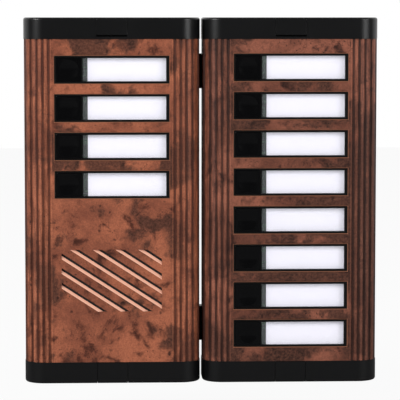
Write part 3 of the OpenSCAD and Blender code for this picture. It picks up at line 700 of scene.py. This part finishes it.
CAP = moulded("satin_black_abs", "#0B0B0C", 0.3, 0.9, 0.1)
BOX = moulded("fine_textured_black_polycarbonate", "#0C0C0C", 0.55, 1.2, 0.3)
CARRIER = moulded("semi_matt_black_abs", "#080808", 0.4, 0.8, 0.06, Specular_IOR_Level=0.3)
BUTTON = moulded("polished_black_abs", "#040405", 0.16, 2.0, 0.0, Specular_IOR_Level=0.35)
CHASSIS = moulded("dark_grey_abs", "#2C2C2E", 0.5, 1.0, 0.15)
EPOXY = moulded("moulded_epoxy", "#17181B", 0.45, 0.7, 0.1)
NYLON = moulded("ivory_nylon", "#DDD3B4", 0.4, 1.5, 0.05)
RUBBER = moulded("black_rubber", "#0E0E0E", 0.75, 0.8, 0.2)
SHEATH = moulded("grey_pvc_sheath", "#434345", 0.5, 2.0, 0.05)
LAMP = moulded("milky_lamp_resin", "#EFE8D0", 0.3, 3.0, 0.0)
print("moulded finishes:", [m.name for m in (CAP, BOX, CARRIER, BUTTON, CHASSIS, EPOXY, NYLON)])

# %% [markdown]
# ## Foam, gauze and paper
# The gasket is closed-cell foam, whose cut cells show as small pits. The gauze behind the
# louvres is a plain weave. The loudspeaker cone is pressed paper pulp and the name cards
# are plain white card, both with faint fibres. Each one needs only its own small pattern.

# %% Foam, gauze and paper
FOAM, tree, shader = finish("closed_cell_foam", "#272727", 0.9)
place = add(tree, "ShaderNodeTexCoord").outputs["Object"]
cells = add(tree, "ShaderNodeTexVoronoi",
            {"Vector": place, "Scale": per_mm(0.9)}).outputs["Distance"]
# The pits are coloured darker as painted shade in their hollows; the bump gives their shape
painted_pit_shade = add(tree, "ShaderNodeMapRange", {"Value": cells, "From Min": 0.1, "From Max": 0.6},
           **SOFT).outputs["Result"]
painted_pit_shade = add(tree, "ShaderNodeMix", {0: painted_pit_shade, 6: "#151515", 7: "#303030"}, **BLEND).outputs[2]
tree.links.new(painted_pit_shade, shader.inputs["Base Color"])
tree.links.new(add(tree, "ShaderNodeBump", {"Height": cells, "Strength": 0.5,
                                            "Distance": 0.0002}).outputs[0],
               shader.inputs["Normal"])

GAUZE, tree, shader = finish("woven_acoustic_gauze", "#101010", 0.85)
place = add(tree, "ShaderNodeTexCoord").outputs["Object"]
threads = [add(tree, "ShaderNodeTexWave", {"Vector": place, "Scale": per_mm(0.8) / FULL_TURN},
               bands_direction=way).outputs[1] for way in ("X", "Z")]
weave = add(tree, "ShaderNodeMath", {0: threads[0], 1: threads[1]}, operation="MAXIMUM").outputs[0]
weave = add(tree, "ShaderNodeMix", {0: weave, 6: "#050505", 7: "#1C1C1C"}, **BLEND).outputs[2]
tree.links.new(weave, shader.inputs["Base Color"])


def fibrous(name, colour, darker, size):
    """Paper or card with faint fibres of this length in mm."""
    material, tree, shader = finish(name, colour, 0.8)
    place = add(tree, "ShaderNodeTexCoord").outputs["Object"]
    fibre = add(tree, "ShaderNodeTexNoise", {"Vector": place, "Scale": per_mm(size), "Detail": 6,
                                             "Roughness": 0.7}).outputs[0]
    fibre = add(tree, "ShaderNodeMapRange", {"Value": fibre, "From Min": 0.3, "From Max": 0.7},
                **SOFT).outputs["Result"]
    fibre = add(tree, "ShaderNodeMix", {0: fibre, 6: darker, 7: colour}, **BLEND).outputs[2]
    tree.links.new(fibre, shader.inputs["Base Color"])
    return material


CARD = fibrous("plain_white_card", "#F4F1FB", "#EFECF6", 1.5)
shader = CARD.node_tree.nodes["Principled BSDF"]
# The card's faint emission is a painted glow that stands in for light from the lamps behind it
shader.inputs["Emission Color"].default_value = linear("#F4F1FB")
shader.inputs["Emission Strength"].default_value = 0.12  # the lamps behind shine through
CONE = fibrous("pressed_paper_cone", "#2B2825", "#201D1B", 1.2)
CLEAR, _, _ = finish("clear_moulded_polycarbonate", "#DDE2E4", 0.06, Alpha=0.07, IOR=1.58)
print("sheet finishes:", FOAM.name, GAUZE.name, CARD.name, CONE.name, CLEAR.name)

# %% [markdown]
# ## Metals and the circuit board
# Zinc-plated screws have a slightly clouded silver surface, spring wire is brighter, and
# the magnet is dull ferrite. The boards are glass epoxy under green solder mask, with
# copper tracks that show through it as paler lines, about a millimetre wide.

# %% Metals and board
def metal(name, colour, roughness, cloud=4.0):
    """A plated or drawn metal whose roughness varies in clouds of this size in mm."""
    material, tree, shader = finish(name, colour, roughness, Metallic=1.0)
    place = add(tree, "ShaderNodeTexCoord").outputs["Object"]
    noise = add(tree, "ShaderNodeTexNoise", {"Vector": place, "Scale": per_mm(cloud),
                                             "Detail": 5}).outputs[0]
    rough = add(tree, "ShaderNodeMapRange", {"Value": noise, "To Min": roughness * 0.7,
                                             "To Max": roughness * 1.4}).outputs["Result"]
    tree.links.new(rough, shader.inputs["Roughness"])
    return material


ZINC = metal("zinc_plated_steel", "#C9CAC4", 0.32)
WIRE = metal("bright_spring_steel", "#BEBEC2", 0.22)
DOME = metal("snap_dome_steel", "#B4B3AC", 0.3)
CAPSULE = metal("drawn_aluminium", "#D2D2D0", 0.3)
FERRITE = moulded("ferrite_and_steel_cover", "#3A3A3C", 0.55, 0.8, 0.2, Metallic=0.3)
MASK, tree, shader = finish("green_solder_mask", "#14582F", 0.35)
place = add(tree, "ShaderNodeTexCoord").outputs["Object"]
squares = add(tree, "ShaderNodeTexVoronoi", {"Vector": place, "Scale": per_mm(7)},
              distance="CHEBYCHEV", feature="F1").outputs["Distance"]
tracks = add(tree, "ShaderNodeMath", {0: squares, 1: 0.25}, operation="PINGPONG").outputs[0]
tracks = add(tree, "ShaderNodeMapRange", {"Value": tracks, "From Min": 0.07, "From Max": 0.04},
             **SOFT).outputs["Result"]
tracks = add(tree, "ShaderNodeMix", {0: tracks, 6: "#114D29", 7: "#2A7A3E"}, **BLEND).outputs[2]
tree.links.new(tracks, shader.inputs["Base Color"])
print("metals:", ZINC.name, WIRE.name, DOME.name, CAPSULE.name)

# %% [markdown]
# ## Mouldings with their edges rounded
# The CAD solids have the right shape but razor edges, which no mould can make and no lamp
# can light. For each one a copy is merged, its edges are rounded by its own small radius,
# and the copy takes the solid's place. Drawing them again would risk a change in size.

# %% Round the mouldings
MOULDINGS = []
for side in SIDES:
    front = side + "_front"
    for end in ("top", "bottom"):
        MOULDINGS.append((f"{side}_{end}_cap", front, 0.35, CAP, "black_cap"))
        MOULDINGS.append((f"{side}_{end}_tab", f"{side}_{end}_tab_body", 0.5, CAP, "black_cap"))
    MOULDINGS += [
        (side + "_button_carriers", front, 0.2, CARRIER, "black_carrier"),
        (side + "_name_windows", front, 0.2, CLEAR, "clear_window"),
        (side + "_back_box", "wall_side", 0.4, BOX, "black_box")]
MOULDINGS += [
    ("box_links", "wall_side", 0.3, BOX, "black_box"),
    ("terminal_blocks", "wall_side", 0.3, NYLON, "ivory_nylon"),
    ("cable_grommets", "wall_side", 0.3, RUBBER, "black_rubber"),
    ("speech_chassis", "left_front", 0.25, CHASSIS, "grey_chassis"),
    ("speaker_basket", "left_front", 0.2, ZINC, "zinc_steel"),
    ("speaker_magnet", "left_front", 0.5, FERRITE, "ferrite"),
    ("microphone", "left_front", 0.3, CAPSULE, "microphone_metal"),
    ("microphone_boot", "left_front", 0.25, RUBBER, "black_rubber"),
    ("speech_board_parts", "left_front", 0.25, EPOXY, "component_black"),
    ("speaker_trimmer", "speaker_volume", 0.12, NYLON, "ivory_nylon"),
    ("microphone_trimmer", "microphone_volume", 0.12, NYLON, "ivory_nylon")]
for node, body, radius, material, slot in MOULDINGS:
    piece = rounded(cad_copy(node + "_moulding", node), radius)
    finish_piece(piece, material, slot, body, node)

# %% [markdown]
# ## Call buttons
# A button is a polished cap with a shallow round dish for the fingertip. The rim of the
# dish stays crisp while the outer edge is well rounded, so the shading is split at a
# smaller angle than on the other mouldings.

# %% Call buttons
for side in SIDES:
    for node in buttons[side]:
        piece = rounded(cad_copy(node + "_cap", node), 0.45, segments=7, smooth=11)
        finish_piece(piece, BUTTON, "black_button", node.replace("call_", ""), node)

# %% [markdown]
# ## Return springs
# Each button has a coil spring of 0.8 mm wire with closed ends. A Screw modifier could
# wind one, but a small Geometry Nodes tree keeps the turns, wire and length as named
# inputs: a spiral whose first and last turns lie close, swept with a circle.

# %% The spring tree
coiler, given, result = new_tree("wound_spring", [
    ("Turns", "Float"), ("Radius", "Float"), ("Wire", "Float"), ("Rise", "Float"),
    ("Place", "Vector"), ("Finish", "Material")])
spiral = add(coiler, "GeometryNodeCurveSpiral", {
    "Resolution": 18, "Rotations": given["Turns"], "Start Radius": given["Radius"],
    "End Radius": given["Radius"], "Height": given["Rise"]}).outputs[0]
share = add(coiler, "GeometryNodeSplineParameter").outputs["Factor"]
size = {"turns": given["Turns"], "wire": given["Wire"], "rise": given["Rise"]}
for key, operation, first, second in (
        ("one turn", "DIVIDE", 1.0, "turns"), ("last turn", "SUBTRACT", 1.0, "one turn"),
        ("ends", "MULTIPLY", "wire", 2.1), ("free", "SUBTRACT", "rise", "ends"),
        ("close", "MULTIPLY", "ends", 0.5), ("wire radius", "MULTIPLY", "wire", 0.5)):
    size[key] = add(coiler, "ShaderNodeMath", {
        0: size.get(first, first), 1: size.get(second, second)}, operation=operation).outputs[0]
height = None
for low, high, gain in ((0.0, size["one turn"], size["close"]),
                        (size["one turn"], size["last turn"], size["free"]),
                        (size["last turn"], 1.0, size["close"])):
    part = add(coiler, "ShaderNodeMapRange", {"Value": share, "From Min": low, "From Max": high,
                                              "To Min": 0.0, "To Max": gain}).outputs[0]
    height = part if height is None else add(coiler, "ShaderNodeMath",
                                             {0: height, 1: part}).outputs[0]
old = add(coiler, "ShaderNodeSeparateXYZ", {0: add(coiler, "GeometryNodeInputPosition").outputs[0]})
new = add(coiler, "ShaderNodeCombineXYZ", {0: old.outputs[0], 1: old.outputs[1], 2: height})
spiral = add(coiler, "GeometryNodeSetPosition", {"Geometry": spiral,
                                                 "Position": new.outputs[0]}).outputs[0]
ring = add(coiler, "GeometryNodeCurvePrimitiveCircle",
           {"Resolution": 10, "Radius": size["wire radius"]})
swept = add(coiler, "GeometryNodeCurveToMesh", {"Curve": spiral, "Profile Curve": ring.outputs[0],
                                                "Fill Caps": True}).outputs[0]
laid = add(coiler, "GeometryNodeTransform", {"Geometry": swept, "Translation": given["Place"],
                                             "Rotation": (math.pi / 2, 0, 0)}).outputs[0]
end_tree(coiler, laid, given["Finish"], result)
print("spring tree has", len(coiler.nodes), "nodes")

# %% Wind the springs
WIRE_D, SPRING_TURNS, PRESS_TRAVEL = 0.8, 5.5, 2.0
for side in SIDES:
    low, high = span(side + "_return_springs")
    coil_r = (high.x - low.x) / 2 - WIRE_D / 2
    for row, button in enumerate(buttons[side]):
        number = button[-2:]
        centre = Vector((middle(button).x, high.y - WIRE_D / 2, TOP_ROW[side] - row * ROW_PITCH))
        spring = grown(new_object("return_spring_" + number, bpy.data.meshes.new("coil")), coiler, {
            "Turns": SPRING_TURNS, "Radius": coil_r * MM, "Wire": WIRE_D * MM,
            "Rise": (high.y - low.y - WIRE_D) * MM, "Place": centre * MM, "Finish": WIRE})
        spring.data.shade_smooth()
        finish_piece(spring, None, "spring_steel", side + "_front", side + "_return_springs")
        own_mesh(spring)

# %% [markdown]
# ## Screws, switches and lamps
# These repeat all over the panel. Where each one sits is read from the loose pieces of its
# CAD node, one point for each. A Geometry Nodes tree sets a copy of one master on every
# point, turned the right way and, for screws, left at any angle as a screwdriver leaves
# them, with a fixed seed.

# %% The tree that sets copies on points
def islands(node):
    """(lowest, highest) corner in mm of each loose solid of a CAD node."""
    bm = bmesh.new()
    bm.from_mesh(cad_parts[node].data)
    bmesh.ops.remove_doubles(bm, verts=bm.verts[:], dist=2e-6)
    left, found = set(bm.verts), []
    while left:
        group, front = set(), [left.pop()]
        while front:
            vert = front.pop()
            group.add(vert)
            for edge in vert.link_edges:
                other = edge.other_vert(vert)
                if other in left:
                    left.discard(other)
                    front.append(other)
        corners = [[v.co[i] / MM for v in group] for i in range(3)]
        found.append((Vector([min(c) for c in corners]), Vector([max(c) for c in corners])))
    bm.free()
    return sorted(found, key=lambda b: (round(-b[1].z, 1), round(b[0].x, 1), round(b[0].y, 1)))


setter, given, result = new_tree("set_on_points", [
    ("Master", "Object"), ("Turn", "Vector"), ("Spin", "Float"), ("Finish", "Material")])
source = add(setter, "GeometryNodeObjectInfo", {"Object": given["Master"]}).outputs["Geometry"]
copies = add(setter, "GeometryNodeInstanceOnPoints", {
    "Points": given["Geometry"], "Instance": source, "Rotation": given["Turn"]}).outputs[0]
angle = add(setter, "FunctionNodeRandomValue", {2: 0.0, 3: given["Spin"], 8: 11}).outputs[1]
spin = add(setter, "ShaderNodeCombineXYZ", {"Y": angle}).outputs[0]
copies = add(setter, "GeometryNodeRotateInstances", {"Instances": copies, "Rotation": spin,
                                                     "Local Space": True}).outputs[0]
end_tree(setter, copies, given["Finish"], result)


def seats(found, inward=0.0):
    """The middle of the front of each loose solid in mm, moved inward by this much."""
    return [((a.x + b.x) / 2, a.y + inward, (a.z + b.z) / 2) for a, b in found]


def set_on(name, master, places, material, turn=(0, 0, 0), spin=0.0):
    """Copies of a master on places in mm, as one object. The master is kept."""
    mesh = bpy.data.meshes.new(name)
    mesh.from_pydata([Vector(p) * MM for p in places], [], [])
    return grown(new_object(name, mesh), setter, {
        "Master": master, "Turn": Vector([math.radians(v) for v in turn]),
        "Spin": spin, "Finish": material})


print("setting tree has", len(setter.nodes), "nodes")

# %% Masters of the screws
# Height of each kind of head, how far it stands out round the shank, and the thread's length
CAP_SCREW, BOARD_SCREW, FIXING_SCREW = (1.6, 1.58, 14.0), (1.4, 1.0, 0.0), (3.0, 1.5, 12.0)


def screw_master(head_r, head_h, shank_r, shank_l, thread=0.0, slotted=False):
    """A pan-head screw along +Y with its seat at y = 0. The thread is a row of ridges
    inside the shank's radius, which at this size looks the same as a helix."""
    profile = [(0, -head_h), (head_r * 0.55, -head_h), (head_r * 0.86, -head_h * 0.82),
               (head_r, -head_h * 0.45), (head_r, 0), (shank_r, 0)]
    y, pitch = shank_l - thread, 0.7
    while thread and y < shank_l - 1.2:
        profile += [(shank_r, y), (shank_r * 0.82, y + pitch / 2)]
        y += pitch
    profile += [(shank_r * 0.9, shank_l - 0.6), (shank_r * 0.5, shank_l), (0, shank_l)]
    screw = turned("screw_master", profile, (0, 0, 0), sides=24)
    reach, wide, deep = head_r * 0.62, head_r * 0.17, head_h * 0.55
    if slotted:
        reach, wide = head_r * 1.3, head_r * 0.16
    cross = box("recess", (-reach, -head_h - 1, -wide), (reach, -head_h + deep, wide))
    screw = carved(screw, cross)
    if not slotted:
        screw = carved(screw, box("recess", (-wide, -head_h - 1, -reach),
                                  (wide, -head_h + deep, reach)))
    return softly(screw, 30)


def drop(*masters):
    """Removes master objects once their copies are made."""
    for master in masters:
        bpy.data.objects.remove(master)


for side in SIDES:
    groups = {"up": [], "down": [], "board": []}
    for low, high in islands(side + "_screws"):
        centre, head_r = (low + high) / 2, (high.x - low.x) / 2
        if high.z - low.z > high.y - low.y:
            head_h, step, thread = CAP_SCREW
            way = "up" if centre.z > 0 else "down"
            seat = high.z - head_h if way == "up" else low.z + head_h
            cap_screw = (head_r, head_h, head_r - step, high.z - low.z - head_h, thread)
            groups[way].append((centre.x, centre.y, seat))
        else:
            head_h, step, thread = BOARD_SCREW
            board_screw = (head_r, head_h, head_r - step, high.y - low.y - head_h, thread)
            groups["board"].append((centre.x, high.y - head_h, centre.z))
    long_screw, short_screw = screw_master(*cap_screw), screw_master(*board_screw)
    parts = [set_on("up", long_screw, groups["up"], ZINC, (-90, 0, 0), FULL_TURN),
             set_on("down", long_screw, groups["down"], ZINC, (90, 0, 0), FULL_TURN),
             set_on("board", short_screw, groups["board"], ZINC, (180, 0, 0), FULL_TURN)]
    finish_piece(joined(side + "_cap_and_board_screws", parts), None, "zinc_steel",
                 side + "_front", side + "_screws")
    fixing = islands(side + "_fixing_screws")
    low, high = fixing[0]
    head_r, (head_h, step, thread) = (high.x - low.x) / 2, FIXING_SCREW
    master = screw_master(head_r, head_h, head_r - step, high.y - low.y - head_h, thread)
    piece = set_on(side + "_captive_fixing_screws", master, seats(fixing, head_h), ZINC,
                   spin=FULL_TURN)
    finish_piece(piece, None, "zinc_steel", side + "_front", side + "_fixing_screws")
    drop(long_screw, short_screw, master)

# %% Terminal screws, switches and lamps
rows = islands("terminal_screws")
low, high = rows[0]
head_h, shank_r = 1.4, 1.1
master = screw_master((high.x - low.x) / 2, head_h, shank_r, high.y - low.y - head_h,
                      slotted=True)
piece = set_on("terminal_clamp_screws", master, seats(rows, head_h), ZINC, spin=FULL_TURN)
finish_piece(piece, None, "zinc_steel", "wall_side", "terminal_screws")
drop(master)


def switch_master(low, high):
    """A snap-dome switch: a square metal frame, its dome and a contact leg at each corner."""
    w, deep = (high.x - low.x) / 2, high.y - low.y
    frame_h = 1.1
    base = rounded(box("base", (-w, deep - frame_h, -w), (w, deep, w)), 0.2)
    r = 1.8
    dome = [(0, 0), (r * 0.5, 0.08), (r * 0.85, 0.28), (r, deep - frame_h), (r, deep - 0.5),
            (0, deep - 0.5)]
    parts = [base, turned("dome", dome, (0, 0, 0), sides=24)]
    for a in (-1, 1):
        for b in (-1, 1):
            parts.append(turned("rivet", [(0, 0.45), (0.4, 0.45), (0.5, 0.6), (0.5, 0.8), (0, 0.8)],
                                (a * (w - 0.8), 0, b * (w - 0.8)), sides=12))
    return joined("switch_master", parts)


def lamp_master(low, high):
    """A round-nosed lamp on its collar, with the small flat that marks one lead."""
    deep = high.y - low.y
    r = (high.x - low.x) / 2 - 0.4
    profile = [(0, 0)] + [(r * math.sin(a), r - r * math.cos(a))
                          for a in (math.pi / 16 * k for k in range(1, 9))]
    profile += [(r, deep - 1.0), (r + 0.3, deep - 1.0), (r + 0.4, deep - 0.9), (r + 0.4, deep),
                (0, deep)]
    lamp = turned("lamp_master", profile, (0, 0, 0), sides=24)
    lamp = carved(lamp, box("flat", (r + 0.15, deep - 1.2, -3), (r + 3, deep + 1, 3)))
    return softly(lamp)


for side in SIDES:
    for kind, make, material, slot in (("contact_switches", switch_master, DOME, "switch_metal"),
                                       ("lamps", lamp_master, LAMP, "lamp_white")):
        found = islands(f"{side}_{kind}")
        master = make(*found[0])
        piece = set_on(f"{side}_{kind}_set", master, seats(found), material)
        finish_piece(piece, None, slot, side + "_front", f"{side}_{kind}")
        drop(master)

# %% [markdown]
# ## Parts on the boards
# Small resistors and the solder joints of the lamps and switches sit on the rear of each
# contact board. They are too small for the CAD model, but a bare board looks unfinished
# once a front is lifted off. Each row has the same set, so the same tree places them.

# %% Resistors and solder joints
for side in SIDES:
    chip = rounded(box("chip", (-1.6, 0, -0.8), (1.6, 0.6, 0.8)), 0.12)
    joint = turned("joint", [(0, 0), (0.9, 0), (0.75, 0.25), (0.35, 0.6), (0, 0.7)], (0, 0, 0), 12)
    zs = [TOP_ROW[side] - i * ROW_PITCH for i in range(len(buttons[side]))]
    chips = [(MODULE_X[side] + x, BOARD_BACK, z + dz) for z in zs
             for x, dz in ((-14, 5), (-14, -5), (6, 6), (22, -6))]
    piece = set_on(side + "_board_resistors", chip, chips, EPOXY)
    finish_piece(piece, None, "component_black", side + "_front")
    joints = [(middle(buttons[side][0]).x + a * 2.3, BOARD_BACK, z + b * 2.3) for z in zs
              for a in (-1, 1) for b in (-1, 1)]
    joints += [((a.x + b.x) / 2 + d, BOARD_BACK, (a.z + b.z) / 2)
               for a, b in islands(side + "_lamps") for d in (-0.9, 0.9)]
    piece = set_on(side + "_solder_joints", joint, joints, ZINC)
    finish_piece(piece, None, "zinc_steel", side + "_front")
    drop(chip, joint)

# %% [markdown]
# ## Loudspeaker cone
# The cone is paper with a rolled surround at its rim and a dust cap in the middle. It is a
# solid of turning, so it is drawn as a profile and spun.

# %% Loudspeaker cone
low, high = span("speaker_cone")
centre = (low + high) / 2
rim, deep, skin = (high.x - low.x) / 2, high.y - low.y, 0.4
front = [(rim, 0.3), (rim - 1.0, 0.1), (rim - 2.0, 0.0), (rim - 3.0, 0.35), (8.0, deep - skin),
         (6.0, deep - 1.3), (3.0, deep - 2.1), (0, deep - 2.4)]
back = [(0, deep - 2.0), (3.0, deep - 1.7), (6.0, deep - 0.9), (7.4, deep), (9.0, deep - 0.2),
        (rim - 3.2, 0.9), (rim - 2.0, 0.5), (rim - 1.0, 0.5), (rim, 0.6)]
cone = turned("pressed_speaker_cone", [(r, low.y + d) for r, d in front + back],
              (centre.x, 0, centre.z), sides=64)
cone.data.shade_smooth()
finish_piece(cone, CONE, "speaker_paper", "left_front", "speaker_cone")

# %% [markdown]
# ## Pieces that keep their CAD shape
# Flat sheets and the cable already have the shape of the real thing, so they stay and only
# take a finish.

# %% Finish the CAD pieces that stay
KEPT = {"box_gaskets": FOAM, "link_cable": SHEATH, "left_name_cards": CARD,
        "right_name_cards": CARD, "left_contact_board": MASK, "right_contact_board": MASK,
        "speech_board": MASK, "grille_membrane": GAUZE, "speaker_gasket": RUBBER}
for node, material in KEPT.items():
    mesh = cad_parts[node].data
    mesh.materials.clear()
    mesh.materials.append(material)
print("kept:", sorted(KEPT))

# %% [markdown]
# ## Light and ground
# The panel is shown in a bright white studio. One broad soft lamp stands to the upper
# left, a weaker one to the right, and the surroundings fill the shadows, so a colour
# renders about as it is written. What the camera sees behind the panel is plain white,
# and what the glossy black mouldings reflect from the camera's side is kept dim, as it is
# in a real studio with a dark space round the camera.

# %% Surroundings, lamps and floor
world = bpy.data.worlds.new("studio")
bpy.context.scene.world = world
world.use_nodes = True
sky = world.node_tree
sky.nodes.clear()
path = add(sky, "ShaderNodeLightPath").outputs
seen = add(sky, "ShaderNodeMath", {0: path["Is Camera Ray"], 1: path["Is Transmission Ray"]},
           operation="MAXIMUM").outputs[0]
direction = add(sky, "ShaderNodeSeparateXYZ",
                {0: add(sky, "ShaderNodeTexCoord").outputs["Generated"]}).outputs["Y"]
behind = add(sky, "ShaderNodeMapRange", {"Value": direction, "From Min": -0.1,
                                         "From Max": 0.25}, **SOFT).outputs["Result"]
behind = add(sky, "ShaderNodeMath", {0: behind, 1: path["Is Glossy Ray"]},
             operation="MULTIPLY").outputs[0]
white = add(sky, "ShaderNodeMath", {0: seen, 1: behind}, operation="MAXIMUM").outputs[0]
fill = add(sky, "ShaderNodeBackground", {"Color": (0.95, 0.97, 1.0, 1), "Strength": 0.42})
dim = add(sky, "ShaderNodeBackground", {"Color": (1, 1, 1, 1), "Strength": 0.06})
plain = add(sky, "ShaderNodeBackground", {"Color": (1, 1, 1, 1), "Strength": 1.0})
mirror = add(sky, "ShaderNodeMixShader", {0: path["Is Glossy Ray"], 1: fill.outputs[0],
                                          2: dim.outputs[0]})
total = add(sky, "ShaderNodeMixShader", {0: white, 1: mirror.outputs[0], 2: plain.outputs[0]})
add(sky, "ShaderNodeOutputWorld", {"Surface": total.outputs[0]})


def soft_lamp(name, place, target, size, power):
    """A square area lamp at a place, aimed at a target, in metres and watts."""
    data = bpy.data.lights.new(name, "AREA")
    data.size, data.energy = size, power
    lamp = bpy.data.objects.new(name, data)
    lamp.location = place
    aim = Vector(target) - Vector(place)
    lamp.rotation_euler = aim.to_track_quat("-Z", "Y").to_euler()
    bpy.context.scene.collection.objects.link(lamp)
    return lamp


soft_lamp("key_softbox", (-1.25, -1.25, 0.8), (0, 0, 0), 0.8, 22)
soft_lamp("fill_softbox", (1.25, -1.25, 0.5), (0, 0, 0), 0.8, 10)
floor_z = cad_box[0][2] - 0.03
floor = box("floor", (-3000, -3000, floor_z / MM - 10), (3000, 3000, floor_z / MM))
ground, tree, shader = finish("matt_white_floor", "#F4F4F4", 0.9)
path = add(tree, "ShaderNodeLightPath").outputs
seen = add(tree, "ShaderNodeMapRange", {"Value": path["Is Glossy Ray"], "To Min": 1.0,
                                        "To Max": 0.08}).outputs["Result"]
glow = add(tree, "ShaderNodeEmission", {"Color": (1, 1, 1, 1), "Strength": seen})
direct = add(tree, "ShaderNodeMath", {0: path["Is Camera Ray"], 1: path["Is Glossy Ray"]},
             operation="MAXIMUM").outputs[0]
direct = add(tree, "ShaderNodeMath", {0: direct, 1: path["Is Transmission Ray"]},
             operation="MAXIMUM").outputs[0]
direct = add(tree, "ShaderNodeMath", {0: direct, 1: 0.92}, operation="MULTIPLY").outputs[0]
floor_mix = add(tree, "ShaderNodeMixShader", {0: direct, 1: shader.outputs[0],
                                              2: glow.outputs[0]})
tree.links.new(floor_mix.outputs[0], tree.nodes["Material Output"].inputs[0])
floor.data.materials.append(ground)
print("floor at", round(floor_z, 4), "m")
